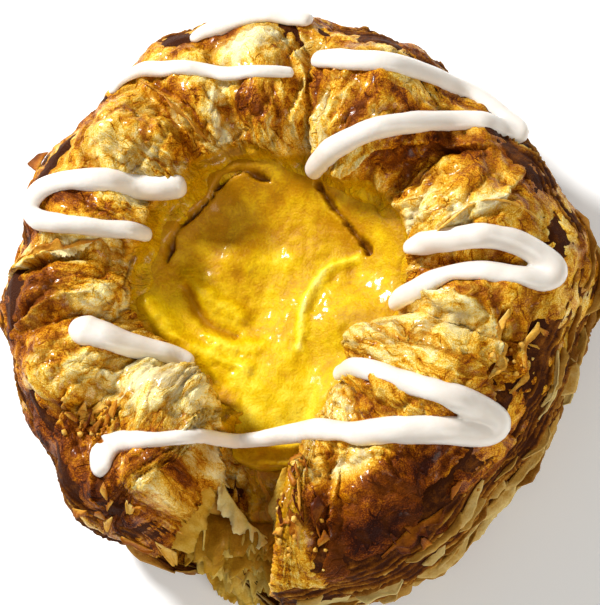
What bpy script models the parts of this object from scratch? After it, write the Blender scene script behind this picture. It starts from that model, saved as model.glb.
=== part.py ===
"""A danish pastry: a ring of folded laminated dough round a baked custard, with poured icing on top.

Every length below is in millimetres, and MM turns it into the scene's metres where a mesh is made.
The origin is on the table, under the middle of the pastry's outline, with +Z up.
"""

import math

import bmesh
import bpy
import numpy as np
from mathutils import Vector
from mathutils.bvhtree import BVHTree

MM = 0.001
GAP = 0.55  # millimetres between the icing and the dough at each of the icing's points
SECOND_GAP = 0.7  # the same for a loop's second leg, so that no face of it lies in a face of the first

# Driving sizes
HALF_WIDTH = 49.0  # of the dough at its side, before its folds swell it
CROWN_RADIUS = 35.5
CROWN_HEIGHT = 26.2
BOWL_FLOOR = 9.5
CUSTARD_LEVEL = 16.4
CUSTARD_CLIMB = 3.4  # how far it climbs the wall opposite the notch
CENTRE_SHIFT = (2.44, -0.01)

# The ring's section as (radius, height), from the bowl's floor over the crown to the table
SECTION = [
    (13.0, BOWL_FLOOR),
    (16.2, 10.2),
    (18.6, 15.0),
    (21.6, 20.2),
    (26.6, 24.4),
    (CROWN_RADIUS, CROWN_HEIGHT),
    (42.2, 24.6),
    (46.8, 20.4),
    (HALF_WIDTH - 0.2, 14.2),
    (HALF_WIDTH, 7.5),
    (47.2, 1.8),
    (45.4, 0.0),
]
CROWN_POINT = 5  # its place in SECTION

# The folds of dough that swell the ring. Each has its angle round the ring and how that shifts per
# millimetre outwards, its half widths clockwise and anticlockwise in degrees, its place outwards
# from the crown line, its reach towards the bowl and towards the side, and its height.
FOLDS = {
    "left_lip": (130, 0.40, 11, 15, 0, 15, 19, 6.2),
    "left_inner": (155, 0.20, 13, 13, -2, 13, 18, 5.6),
    "left_side": (178, 0.00, 12, 10, 3, 14, 17, 4.8),
    "left_low": (199, 0.20, 13, 13, 3, 13, 17, 4.4),
    "front_left_inner": (231, 0.00, 17, 20, -9, 9, 9, 6.4),
    "front_left": (238, 0.00, 12, 17, 6, 12, 16, 5.0),
    "front_broken": (281, -0.30, 9, 11, 4, 10, 15, 4.0),
    "front_dark": (300, -0.60, 10, 12, 10, 12, 15, 5.6),
    "front_right": (323, -0.20, 22, 19, -2, 15, 17, 7.0),
    "right_small": (349, -0.10, 8, 9, 0, 14, 17, 5.0),
    "right_wide": (370, 0.00, 13, 20, 6, 18, 15, 5.6),
    "back_right": (416, 0.20, 20, 20, -3, 14, 18, 6.6),
    "back": (449, 0.30, 12, 13, -3, 12, 17, 5.4),
    "back_wedge": (469, 0.30, 8, 9, 2, 12, 16, 3.0),
}
# How much wider than HALF_WIDTH the side is, every EDGE_EVERY degrees from +X anticlockwise
EDGE_EVERY = 15
EDGE = [
    3.2, -0.3, -1.8, -3.9, -1.4, -1.6, 1.4, 2.2, 1.0, -1.6, 0.1, -2.6,
    -1.7, -2.7, -3.7, -0.4, -3.0, -4.6, 1.2, 2.0, 1.8, -0.3, -0.1, 0.1,
]

CREASE_SOFTNESS = 0.5  # how round the bottom of a crease is
SHOULDER_FILL, SHOULDER_SWELL = 0.8, 2.8  # the creases run out before the shoulder, where all swells alike
LEAST_SWELL = -1.2
# Where the dough comes in over the bowl: the angle, the half width in degrees, and how far
BOWL_LEANS = [(208, 11, 3.0), (237, 15, 1.5), (318, 22, 4.2), (66, 22, 1.6), (275, 13, -4.0)]

# The torn notch at the front, from the custard out to the edge
NOTCH_INNER, NOTCH_OUTER = 26.0, 46.0
NOTCH_ANGLE_INNER, NOTCH_ANGLE_OUTER = 266.5, 256.0
NOTCH_HALF_INNER, NOTCH_HALF_OUTER = 14.0, 14.0
NOTCH_TOP, NOTCH_FOOT = 15.4, 4.0
POOL_RADIUS = 25.6  # how far out the custard runs in the notch

LEAST_CLEAR = 0.35  # between the icing's faces and the dough
SHOULDER_RADIUS, SHOULDER_HEIGHT = 48.0, 21.5  # past this radius a stroke lies over the shoulder
LOWEST_LAID = 19.0  # a stroke bridges the notch and stops over the bowl's wall at this height

# Icing: the points each stroke runs through and its half width at each
ICING_HEIGHT = 1.6
STRAND_STEP = 1.9
STRAND_SIDES = 8
STROKES = {
    "icing_back": [
        (
            [(-13.6, 45.2), (-11.4, 46.9), (-8, 48), (-3.5, 48.5), (1, 48.5), (5.2, 47.9), (8.6, 46.3)],
            [0.9, 1.2, 1.4, 1.5, 1.6, 1.5, 1.2],
        ),
    ],
    "icing_upper_left": [
        (
            [(-27.2, 35.6), (-25.6, 38), (-21.3, 40), (-15.1, 38.4), (-8.9, 37.2), (-0.8, 34.8), (6.5, 34.7)],
            [0.7, 0.9, 1.3, 1.3, 1.2, 1.1, 0.9],
        ),
    ],
    "icing_upper_right": [
        (
            [
                (9, 37.7), (15.7, 34.9), (21.6, 33.8), (26, 33.5), (30, 32.8), (33.8, 31.6), (37, 29.4),
                (41, 24.6),
            ],
            [1.7, 1.9, 1.9, 1.9, 1.8, 1.7, 1.6, 1.6],
        ),
        (
            [
                (43.1, 22.6), (39.4, 24.1), (33.5, 24.5), (27.6, 23.5), (22.4, 22.4), (17.3, 21.2),
                (11.8, 19.8), (6.8, 19.4),
            ],
            [1.6, 1.7, 1.7, 1.7, 1.7, 1.7, 1.9, 1.5],
        ),
    ],
    "icing_left": [
        (
            [
                (-13.3, 18.4), (-17.1, 18.3), (-23.1, 19), (-29, 18.9), (-34.4, 18.9), (-38.2, 17.9),
                (-39.8, 15.7), (-38.8, 13.5), (-36.4, 12.4), (-32.2, 11.3), (-27.1, 10.6), (-22.6, 10.1),
                (-19.8, 10.1),
            ],
            [1.9, 2.2, 2.2, 2.2, 2.1, 2.1, 2.0, 1.8, 1.7, 1.5, 1.45, 1.4, 1.2],
        ),
    ],
    "icing_right": [
        (
            [(23.5, 3.1), (27.7, 3.4), (33.3, 2.7), (39, 2.3), (43.4, 1.2), (47, -1.2), (49, -4)],
            [1.5, 1.8, 1.9, 1.9, 1.9, 2.0, 1.9],
        ),
        (
            [
                (49.4, -3.4), (46.6, -4.6), (43.2, -4.5), (36.8, -3.3), (32, -3.3), (27.2, -4.6), (23, -5),
                (20.7, -5.6),
            ],
            [1.9, 2.0, 2.1, 2.0, 1.9, 1.7, 1.5, 0.9],
        ),
    ],
    "icing_lower_left": [
        (
            [(-31.6, -6.4), (-27.2, -8.2), (-23.4, -9), (-18.9, -9.7), (-15.8, -10.5), (-13.8, -11.7)],
            [1.4, 2.5, 1.9, 1.6, 1.4, 1.0],
        ),
    ],
    "icing_front": [
        (
            [
                (10.6, -15.2), (15.3, -16.5), (21.2, -19.4), (27, -22.1), (32.4, -24.2), (36.4, -25.4),
                (39.2, -28),
            ],
            [1.2, 1.5, 1.7, 1.9, 2.2, 2.3, 2.1],
        ),
        (
            [
                (39.8, -27), (37, -28.4), (33.1, -28.7), (27.2, -28.5), (20.4, -28.1), (12.8, -26.7),
                (4.7, -24.8), (-2.2, -25.2), (-8, -25.6), (-12.9, -26.6), (-17.7, -26.8), (-22.8, -26.2),
                (-26, -27), (-25.8, -29.4), (-24.9, -31.4),
            ],
            [2.0, 2.1, 2.2, 2.1, 2.0, 1.9, 1.6, 1.2, 1.1, 1.1, 1.2, 1.5, 2.4, 2.2, 1.4],
        ),
    ],
}

AROUND = 96  # vertices round the dough
CUSTARD_AROUND = 64


def smoothstep(low, high, value):
    part = np.clip((value - low) / (high - low), 0, 1)
    return part * part * (3 - 2 * part)


def smooth_line(points, step):
    """Points about step apart on a Catmull-Rom curve through the given ones, and where each lies."""
    points = np.array(points, float)
    padded = np.vstack([2 * points[0] - points[1], points, 2 * points[-1] - points[-2]])
    made, places = [], []
    for i in range(len(points) - 1):
        a, b, c, d = padded[i : i + 4]
        count = max(1, round(float(np.linalg.norm(c - b)) / step))
        for t in np.arange(count) / count:
            bend = a * (-t + 2 * t * t - t**3) + b * (2 - 5 * t * t + 3 * t**3)
            bend = bend + c * (t + 4 * t * t - 3 * t**3) + d * (t**3 - t * t)
            made.append(bend / 2)
            places.append(i + t)
    return np.array(made + [points[-1]]), np.array(places + [len(points) - 1.0])


def section_table():
    """(distance outwards from the crown line, radius, height) along the ring's section."""
    line, places = smooth_line(SECTION, 0.5)
    line = np.vstack([(0.0, BOWL_FLOOR), line, (0.0, 0.0)])
    along = np.concatenate([[0], np.cumsum(np.linalg.norm(np.diff(line, axis=0), axis=1))])
    crown = 1 + int(np.flatnonzero(places == CROWN_POINT)[0])
    return along - along[crown], line[:, 0], line[:, 1]


ALONG, RADIUS, HEIGHT = section_table()
FLOOR_EDGE, TABLE_EDGE = ALONG[1], ALONG[-2]


def swell(angle, along):
    """How far the folds push the dough out of its plain section."""
    total = np.exp(np.full(np.shape(angle), LEAST_SWELL) / CREASE_SOFTNESS)
    for centre, shift, clockwise, anticlockwise, place, inwards, outwards, height in FOLDS.values():
        turn = (angle - centre - shift * along + 180) % 360 - 180
        across = turn / np.where(turn < 0, clockwise, anticlockwise)
        lengthways = (along - place) / np.where(along < place, inwards, outwards)
        bump = height * (1 - across**2 - lengthways**2)
        total = total + np.exp(np.maximum(bump, LEAST_SWELL * 2) / CREASE_SOFTNESS)
    return CREASE_SOFTNESS * np.log(total)


def edge_swell(angle):
    """How much wider than plain the side is, eased from one of EDGE's angles to the next."""
    place = np.mod(angle, 360) / EDGE_EVERY
    before = np.floor(place).astype(int)
    share = smoothstep(0, 1, place - before)
    values = np.array(EDGE)
    return values[before % len(EDGE)] * (1 - share) + values[(before + 1) % len(EDGE)] * share


def notch(angle, radius):
    """1 inside the torn notch at the front, 0 outside it."""
    out = np.clip((radius - NOTCH_INNER) / (NOTCH_OUTER - NOTCH_INNER), -0.3, 1.2)
    middle = NOTCH_ANGLE_INNER + (NOTCH_ANGLE_OUTER - NOTCH_ANGLE_INNER) * out
    half = NOTCH_HALF_INNER + (NOTCH_HALF_OUTER - NOTCH_HALF_INNER) * out
    away = np.abs((angle - middle + 180) % 360 - 180)
    return 1 - smoothstep(half - 2.0, half + 3.0, away)


def dough_point(angle, along):
    """(x, y, z) in millimetres of the dough's surface, for an angle in degrees and a place along."""
    radius = np.interp(along, ALONG, RADIUS)
    height = np.interp(along, ALONG, HEIGHT)
    ahead, behind = along + 0.8, along - 0.8
    run = np.interp(ahead, ALONG, RADIUS) - np.interp(behind, ALONG, RADIUS)
    rise = np.interp(ahead, ALONG, HEIGHT) - np.interp(behind, ALONG, HEIGHT)
    length = np.hypot(run, rise) + 1e-9
    folded = smoothstep(FLOOR_EDGE + 3, FLOOR_EDGE + 15, along)
    folded = folded * (1 - 0.75 * smoothstep(TABLE_EDGE - 20, TABLE_EDGE - 4, along))
    folded = folded * (1 - smoothstep(TABLE_EDGE - 4, TABLE_EDGE, along))
    swelled = swell(angle, along)
    push = folded * (swelled + SHOULDER_FILL * smoothstep(2, 11, along) * (SHOULDER_SWELL - swelled))
    turned = np.radians(angle)
    outer = smoothstep(0, 12, along) * (1 - smoothstep(TABLE_EDGE + 5, TABLE_EDGE + 35, along))
    edge = edge_swell(angle)
    leaning = smoothstep(FLOOR_EDGE, FLOOR_EDGE + 8, along) * (1 - smoothstep(-11, 0, along))
    ripple = 0.35 * np.sin(11 * turned + 0.35 * along) + 0.3 * np.sin(23 * turned - 0.5 * along)
    push = push + folded * ripple
    new_radius = radius - push * rise / length + edge * outer
    for middle, half, lean in BOWL_LEANS:
        away = (angle - middle + 180) % 360 - 180
        new_radius = new_radius - lean * np.exp(-((away / half) ** 2)) * leaning
    new_height = height + push * run / length
    slope = (NOTCH_FOOT - NOTCH_TOP) / (NOTCH_OUTER - NOTCH_INNER)
    torn = NOTCH_TOP + slope * (new_radius - NOTCH_INNER) + 1.1 * np.sin(new_radius * 0.9)
    torn = np.clip(torn, NOTCH_FOOT, NOTCH_TOP)
    inside = notch(angle, new_radius)
    new_height = new_height - inside * np.maximum(new_height - torn, 0)
    new_height = np.maximum(new_height, 0)
    x = new_radius * np.cos(turned) - CENTRE_SHIFT[0]
    y = new_radius * np.sin(turned) - CENTRE_SHIFT[1]
    return np.stack([x, y, new_height], axis=-1)


def clear_scene():
    for obj in list(bpy.data.objects):
        bpy.data.objects.remove(obj, do_unlink=True)


def new_collection(name):
    made = bpy.data.collections.new(name)
    bpy.context.scene.collection.children.link(made)
    return made


def new_material(name, colour, roughness):
    made = bpy.data.materials.new(name)
    made.use_nodes = True
    shader = made.node_tree.nodes["Principled BSDF"]
    shader.inputs["Base Color"].default_value = (*colour, 1)
    shader.inputs["Roughness"].default_value = roughness
    shader.inputs["Metallic"].default_value = 0
    return made


def new_object(name, bm, material, collection):
    bmesh.ops.recalc_face_normals(bm, faces=bm.faces)
    if bm.calc_volume(signed=True) < 0:
        bmesh.ops.reverse_faces(bm, faces=bm.faces)
    mesh = bpy.data.meshes.new(name)
    bm.to_mesh(mesh)
    bm.free()
    mesh.materials.append(material)
    mesh.shade_smooth()
    made = bpy.data.objects.new(name, mesh)
    collection.objects.link(made)
    return made


def spun_rows(rows, around):
    """A closed turned body with one ring of vertices for each (radius, height) row.

    The first and last rows are its poles. Each vertex keeps its row's number.
    """
    bm = bmesh.new()
    layer = bm.verts.layers.int.new("row")
    made = []
    for i, (radius, height) in enumerate(rows):
        vert = bm.verts.new((radius, 0, height))
        vert[layer] = i
        made.append(vert)
    edges = [bm.edges.new(pair) for pair in zip(made, made[1:])]
    bmesh.ops.spin(
        bm,
        geom=made + edges,
        cent=(0, 0, 0),
        axis=(0, 0, 1),
        angle=math.tau,
        steps=around,
        use_merge=True,
        use_duplicate=False,
    )
    bmesh.ops.remove_doubles(bm, verts=bm.verts, dist=1e-4)
    return bm, layer


def ring_rows():
    """Where the dough's rings of vertices lie along its section."""
    bowl = np.linspace(FLOOR_EDGE, FLOOR_EDGE + 11, 6)
    top = np.linspace(FLOOR_EDGE + 11, TABLE_EDGE - 9, 16)[1:]
    side = np.linspace(TABLE_EDGE - 9, TABLE_EDGE, 5)[1:]
    return np.concatenate([[ALONG[0], ALONG[0] + 7], bowl, top, side, [TABLE_EDGE + 22, ALONG[-1]]])


def place_vertices(bm, layer, place):
    """Moves each vertex to place(angles, rows), which gives millimetres."""
    bm.verts.ensure_lookup_table()
    angles = np.array([math.degrees(math.atan2(v.co.y, v.co.x)) for v in bm.verts])
    rows = np.array([v[layer] for v in bm.verts])
    for vert, point in zip(bm.verts, place(angles, rows)):
        vert.co = Vector(point) * MM


def make_dough(collection):
    along = ring_rows()
    rows = np.stack([np.interp(along, ALONG, RADIUS), np.interp(along, ALONG, HEIGHT)], axis=1)
    bm, layer = spun_rows(rows, AROUND)
    place_vertices(bm, layer, lambda angles, row: dough_point(angles, along[row]))
    bmesh.ops.recalc_face_normals(bm, faces=bm.faces)
    tree = BVHTree.FromBMesh(bm)
    new_object("dough", bm, new_material("baked_dough", (0.55, 0.27, 0.07), 0.45), collection)
    return tree


def push_out(tree, point, clear):
    """The point, moved out of the dough where it lies in it or nearer than clear."""
    nearest, normal, _, _ = tree.find_nearest(point)
    depth = (point - nearest).dot(normal)
    return nearest + normal * clear if depth < clear else point


def lift_clear(bm, tree):
    """Moves a mesh's vertices out where a face or an edge between them would dip into the dough."""
    for _ in range(5):
        for part in [*bm.faces, *bm.edges]:
            middle = sum((vert.co for vert in part.verts), Vector()) / len(part.verts)
            raised = push_out(tree, middle, LEAST_CLEAR * MM)
            for vert in part.verts:
                vert.co += raised - middle


def custard_top(x, y):
    """The height of the custard's uneven skin."""
    lumps = 0.7 * np.sin(0.31 * x + 0.12 * y + 1.0) * np.cos(0.27 * y - 0.1 * x)
    dome = 2.0 * np.exp(-((x - 9.5) ** 2 + (y + 6.5) ** 2) / 40)
    dent = -1.3 * np.exp(-((x + 3) ** 2 + (y - 1) ** 2) / 70)
    across, deep = x + CENTRE_SHIFT[0], y + CENTRE_SHIFT[1]
    from_notch = np.arctan2(deep, across) + math.pi / 2
    climb = CUSTARD_CLIMB * (0.5 - 0.5 * np.cos(from_notch)) ** 0.7
    climb = climb * smoothstep(13, 24, np.hypot(across, deep))
    return CUSTARD_LEVEL + lumps + dome + dent + climb


def custard_rim(angles):
    """Where along the section the bowl's wall rises past the custard, for each angle."""
    along = np.linspace(FLOOR_EDGE + 2, -6, 80)
    grid_angle, grid_along = np.meshgrid(angles, along, indexing="ij")
    wall = dough_point(grid_angle, grid_along)
    over = wall[..., 2] > custard_top(wall[..., 0], wall[..., 1]) - 0.3
    reach = np.hypot(wall[..., 0] + CENTRE_SHIFT[0], wall[..., 1] + CENTRE_SHIFT[1])
    over = over | (reach > POOL_RADIUS) | (grid_along == along[-1])
    return along[np.argmax(over, axis=1)]


CUSTARD_UNDER = 5  # rings between the bottom pole and the rim
CUSTARD_OVER = 6  # rings between the rim and the top pole


def custard_point(angles, rows):
    rim = custard_rim(angles)
    under = np.clip(rows / CUSTARD_UNDER, 0, 1)
    start = ALONG[0] + 6
    along = start + (rim - start) * under
    wall = dough_point(angles, along)
    beside = dough_point(angles, along - 0.5)
    slope = wall - beside
    slope = slope / np.maximum(np.linalg.norm(slope, axis=1, keepdims=True), 1e-9)
    turned = np.radians(angles)
    away = np.stack([-slope[:, 2] * np.cos(turned), -slope[:, 2] * np.sin(turned)], axis=1)
    flat = np.hypot(slope[:, 0], slope[:, 1])
    clear = 0.62
    wall[:, :2] += away * clear
    wall[:, 2] += clear * np.maximum(flat, 0.35)
    wall[rows == 0] = (-CENTRE_SHIFT[0], -CENTRE_SHIFT[1], BOWL_FLOOR + clear)
    over = np.clip((rows - CUSTARD_UNDER) / (CUSTARD_OVER + 1), 0, 1)
    share = (1 - over**1.15)[:, None]
    flat_rim = wall[:, :2] * share - np.array(CENTRE_SHIFT) * (1 - share)
    top = custard_top(flat_rim[:, 0], flat_rim[:, 1])
    rounded = smoothstep(0, 0.25, over)
    raised = wall[:, 2] * (1 - rounded) + top * rounded
    height = np.where(rows > CUSTARD_UNDER, raised, wall[:, 2])
    flat_place = np.where((rows > CUSTARD_UNDER)[:, None], flat_rim, wall[:, :2])
    return np.column_stack([flat_place, height])


def make_custard(tree, collection):
    count = CUSTARD_UNDER + CUSTARD_OVER + 2
    rise = np.arange(count)
    radius = 20 * np.sin(np.pi * rise / (count - 1))
    bm, layer = spun_rows(np.stack([radius, rise], axis=1), CUSTARD_AROUND)
    place_vertices(bm, layer, custard_point)
    lift_clear(bm, tree)
    new_object("custard", bm, new_material("baked_custard", (0.72, 0.45, 0.03), 0.3), collection)


def lie_on(tree, x, y):
    """The dough's surface point below (x, y), or near its shoulder the nearest one, and its normal."""
    x, y = x - CENTRE_SHIFT[0], y - CENTRE_SHIFT[1]
    found = tree.ray_cast(Vector((x, y, 60)) * MM, Vector((0, 0, -1)))
    if found[0] is None or math.hypot(x, y) > SHOULDER_RADIUS:
        found = tree.find_nearest(Vector((x, y, SHOULDER_HEIGHT)) * MM)
    point, normal = found[0].copy(), found[1]
    if point.z < LOWEST_LAID * MM:
        point.z = LOWEST_LAID * MM
        normal = Vector((0, 0, 1))
    return point, normal


def evened(values):
    """Each row of values blended with its neighbours."""
    padded = np.vstack([values[:1], values, values[-1:]])
    return 0.25 * padded[:-2] + 0.5 * values + 0.25 * padded[2:]


def strand_rings(tree, spots, widths, gap):
    line, places = smooth_line(spots, STRAND_STEP)
    half = np.interp(places, np.arange(len(widths)), widths)
    laid = [lie_on(tree, x, y) for x, y in line]
    ground = np.array([point for point, _ in laid])
    normals = np.array([normal for _, normal in laid])
    normals = evened(evened(normals))
    ground = np.maximum(ground, evened(ground) * (0, 0, 1) + ground * (1, 1, 0))
    run = np.concatenate([[0], np.cumsum(np.linalg.norm(np.diff(line, axis=0), axis=1))])
    to_end = np.minimum(run, run[-1] - run)
    rounded = np.sqrt(1 - np.clip(1 - to_end / half, 0, 0.82) ** 2)
    rings = []
    for i in range(len(line)):
        forwards = Vector(ground[min(i + 1, len(line) - 1)] - ground[max(i - 1, 0)]).normalized()
        up = Vector(normals[i]).normalized()
        across = forwards.cross(up).normalized()
        up = across.cross(forwards)
        ring = []
        for k in range(STRAND_SIDES):
            turn = math.tau * (k + 0.5) / STRAND_SIDES
            side = math.cos(turn) / math.cos(math.pi / STRAND_SIDES) * half[i] * rounded[i]
            thick = ICING_HEIGHT * rounded[i] * max(math.sin(turn), 0)
            point = Vector(ground[i]) + across * (side * MM) + up * (1.4 * thick * MM)
            ring.append(push_out(tree, point, (gap + thick) * MM))
        rings.append(ring)
    return rings


def make_strand(name, tree, stroke, gap, material, collection):
    """One stroke: a capped ring of vertices, its end face extruded from place to place."""
    rings = strand_rings(tree, *stroke, gap)
    bm = bmesh.new()
    layer = bm.verts.layers.int.new("side")
    bmesh.ops.create_circle(bm, cap_ends=True, segments=STRAND_SIDES, radius=MM)
    face = bm.faces[:][0]
    for k, vert in enumerate(face.verts):
        vert[layer] = k
        vert.co = rings[0][k]
    for ring in rings[1:]:
        face = bmesh.ops.extrude_discrete_faces(bm, faces=[face])["faces"][0]
        for vert in face.verts:
            vert.co = ring[vert[layer]]
    bmesh.ops.holes_fill(bm, edges=bm.edges, sides=STRAND_SIDES)
    lift_clear(bm, tree)
    return new_object(name, bm, material, collection)


def make_icing(tree, collection, helpers):
    material = new_material("sugar_icing", (0.82, 0.78, 0.7), 0.25)
    for name, strokes in STROKES.items():
        leg, *others = strokes
        piece = make_strand(name, tree, leg, GAP, material, collection)
        for second in others:
            other = make_strand(name + "_second_leg", tree, second, SECOND_GAP, material, helpers)
            other.hide_render = True
            other.display_type = "WIRE"
            union = piece.modifiers.new("join_legs", "BOOLEAN")
            union.operation = "UNION"
            union.solver = "EXACT"
            union.object = other


clear_scene()
pastry = new_collection("danish_pastry")
cutters = new_collection("cutters")
dough_tree = make_dough(pastry)
make_custard(dough_tree, pastry)
make_icing(dough_tree, pastry, cutters)
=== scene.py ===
"""A danish pastry: folded laminated dough baked golden round a custard, with sugar icing poured over it.

Places and sizes are worked out in millimetres, and MM turns them into the scene's metres where a mesh
is made. Places on the dough are an angle round the ring in degrees, anticlockwise from +X, and a
distance along its section in millimetres, outwards from the crown line.
"""

import math
import random

import bmesh
import bpy
import numpy as np
from mathutils import Matrix, Vector, noise
from mathutils.bvhtree import BVHTree


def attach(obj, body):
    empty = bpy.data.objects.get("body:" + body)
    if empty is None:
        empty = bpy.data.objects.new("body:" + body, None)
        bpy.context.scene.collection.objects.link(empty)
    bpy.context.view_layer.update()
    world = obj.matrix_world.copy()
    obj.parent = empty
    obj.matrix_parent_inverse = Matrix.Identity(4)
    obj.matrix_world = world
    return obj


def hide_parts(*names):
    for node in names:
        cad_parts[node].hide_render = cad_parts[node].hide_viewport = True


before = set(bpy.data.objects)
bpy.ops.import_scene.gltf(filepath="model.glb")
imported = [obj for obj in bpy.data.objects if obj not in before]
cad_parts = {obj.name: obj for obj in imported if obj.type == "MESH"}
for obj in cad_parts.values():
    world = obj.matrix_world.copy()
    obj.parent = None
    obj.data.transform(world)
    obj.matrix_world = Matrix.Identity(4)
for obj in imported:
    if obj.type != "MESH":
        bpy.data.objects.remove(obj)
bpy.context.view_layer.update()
MM = 0.001

# ---- Table, lights and camera -------------------------------------------------------------------
# A plain pale table under soft studio lamps: a strong one high at the back left, and a weak one that
# fills the shadows at the front right. The camera looks down steeply from the front right.
VIEW_AZIMUTH, VIEW_ELEVATION = math.radians(40), math.radians(66)
VIEW_TARGET = Vector((0.56, -0.49, 14.0)) * MM
VIEW_DISTANCE = 0.4
VIEW_WIDTH = 0.10084  # of what the camera sees at the target's distance
SENSOR_WIDTH = 36.0
LAMPS = {
    "key_lamp": ((-0.46, 0.44, 0.56), 0.18, 11.4, (1.0, 1.0, 1.0)),
    "front_lamp": ((0.5, -0.55, 0.6), 0.6, 4.0, (1.0, 0.95, 0.86)),
}


def colour(red, green, blue):
    """Linear red, green and blue of a colour given as screen values from 0 to 255."""
    return tuple((part / 255) ** 2.2 for part in (red, green, blue))


class Wire:
    """An output of a material's node. Sums and products of wires add Math nodes."""

    def __init__(self, socket):
        self.socket = socket

    def maths(self, operation, first, second):
        tree = self.socket.id_data
        node = tree.nodes.new("ShaderNodeMath")
        node.operation = operation
        for place, value in enumerate((first, second)):
            if isinstance(value, Wire):
                tree.links.new(value.socket, node.inputs[place])
            else:
                node.inputs[place].default_value = value
        return Wire(node.outputs[0])

    def __add__(self, other):
        return self.maths("ADD", self, other)

    def __radd__(self, other):
        return self.maths("ADD", other, self)

    def __sub__(self, other):
        return self.maths("SUBTRACT", self, other)

    def __rsub__(self, other):
        return self.maths("SUBTRACT", other, self)

    def __mul__(self, other):
        return self.maths("MULTIPLY", self, other)

    def __rmul__(self, other):
        return self.maths("MULTIPLY", other, self)

    def within(self, low, high):
        """This value, kept from low to high."""
        return self.maths("MINIMUM", self.maths("MAXIMUM", self, low), high)


class Finish:
    """A material under work, with its shader and the nodes that feed it."""

    def __init__(self, name, **constants):
        self.material = bpy.data.materials.new(name)
        self.material.use_nodes = True
        self.tree = self.material.node_tree
        self.shader = self.tree.nodes["Principled BSDF"]
        for words, value in constants.items():
            self.shader.inputs[words.replace("_", " ").title().replace("Ior", "IOR")].default_value = value

    def node(self, kind, settings, inputs, output=0):
        made = self.tree.nodes.new("ShaderNode" + kind)
        for name, value in settings.items():
            if name == "stops":
                ramp = made.color_ramp.elements
                ramp.remove(ramp[1])
                for place, shade in value:
                    stop = ramp[0] if place == value[0][0] else ramp.new(place)
                    stop.position = place
                    stop.color = (*shade, 1)
            else:
                setattr(made, name, value)
        for name, value in inputs.items():
            self.feed(made.inputs[name], value)
        return Wire(made.outputs[output])

    def feed(self, socket, value):
        if isinstance(value, Wire):
            self.tree.links.new(value.socket, socket)
        else:
            socket.default_value = value

    def speckle(self, size, detail=3.0, kind="FBM", at=None):
        """Noise from 0 to 1 over the surface, with lumps about size millimetres across."""
        where = self.node("TexCoord", {}, {}, "Object") if at is None else at
        inputs = {"Vector": where, "Scale": 1 / (size * MM), "Detail": detail}
        return self.node("TexNoise", {"noise_type": kind}, inputs, 0)

    def vectors(self, operation, first, second, third=(0, 0, 0)):
        return self.node("VectorMath", {"operation": operation}, {0: first, 1: second, 2: third})

    def lines(self, at, every):
        """Uneven wrinkles from 0 to 1, about every so many units apart, where the place is stretched."""
        wave = self.node("TexNoise", {}, {"Vector": at, "Scale": 1 / every, "Detail": 4.0, "Roughness": 0.6})
        return ((wave - 0.5) * 2.2 + 0.5).within(0.0, 1.0)

    def attribute(self, name):
        return self.node("Attribute", {"attribute_name": name}, {}, "Fac")

    def ramp(self, value, stops):
        return self.node("ValToRGB", {"stops": stops}, {0: value})

    def blend(self, share, first, second, way="MIX"):
        """The first colour, with a share of the second mixed in."""
        inputs = {0: share, 6: first if isinstance(first, Wire) else (*first, 1)}
        inputs[7] = second if isinstance(second, Wire) else (*second, 1)
        return self.node("Mix", {"data_type": "RGBA", "blend_type": way}, inputs, 2)

    def bump(self, height, depth):
        return self.node("Bump", {}, {"Height": height, "Distance": depth * MM}, 0)

    def use(self, **inputs):
        for name, value in inputs.items():
            self.feed(self.shader.inputs[name.replace("_", " ").title()], value)
        return self.material


def aimed_at_pastry(made, place):
    made.location = place
    made.rotation_mode = "QUATERNION"
    made.rotation_quaternion = (Vector(place) - VIEW_TARGET).to_track_quat("Z", "Y")
    bpy.context.scene.collection.objects.link(made)


for lamp_name, (lamp_place, lamp_size, lamp_power, lamp_colour) in LAMPS.items():
    lamp = bpy.data.lights.new(lamp_name, "AREA")
    lamp.shape = "DISK"
    lamp.size = lamp_size
    lamp.energy = lamp_power
    lamp.color = lamp_colour
    aimed_at_pastry(bpy.data.objects.new(lamp_name, lamp), lamp_place)

world = bpy.data.worlds.new("pale_room")
world.use_nodes = True
world.node_tree.nodes["Background"].inputs["Color"].default_value = (1, 1, 1, 1)
world.node_tree.nodes["Background"].inputs["Strength"].default_value = 0.2
bpy.context.scene.world = world
bpy.context.scene.view_settings.view_transform = "Standard"

table_bm = bmesh.new()
bmesh.ops.create_grid(table_bm, x_segments=2, y_segments=2, size=2.0)
bmesh.ops.translate(table_bm, verts=table_bm.verts, vec=(0, 0, -0.05 * MM))
table_mesh = bpy.data.meshes.new("table")
table_bm.to_mesh(table_mesh)
table_bm.free()
table_finish = Finish("matt_white_table", roughness=0.7, emission_color=(1, 1, 1, 1), emission_strength=0.15)
table_tone = table_finish.ramp(table_finish.speckle(60), [(0.3, colour(248, 248, 247)), (0.7, colour(252, 252, 251))])
table_mesh.materials.append(table_finish.use(base_color=table_tone))
table = bpy.data.objects.new("table", table_mesh)
bpy.context.scene.collection.objects.link(table)

camera = bpy.data.objects.new("camera", bpy.data.cameras.new("camera"))
camera.data.sensor_fit = "HORIZONTAL"
camera.data.sensor_width = SENSOR_WIDTH
camera.data.lens = SENSOR_WIDTH * VIEW_DISTANCE / VIEW_WIDTH
camera.data.clip_start = 0.01
level = math.cos(VIEW_ELEVATION)
backwards = Vector((math.sin(VIEW_AZIMUTH) * level, -math.cos(VIEW_AZIMUTH) * level, math.sin(VIEW_ELEVATION)))
upwards = (Vector((0, 1, 0)) - backwards * backwards.y).normalized()
turned = Matrix((upwards.cross(backwards), upwards, backwards)).transposed()
camera.matrix_world = Matrix.Translation(VIEW_TARGET + backwards * VIEW_DISTANCE) @ turned.to_4x4()
bpy.context.scene.collection.objects.link(camera)
bpy.context.scene.camera = camera

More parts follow.
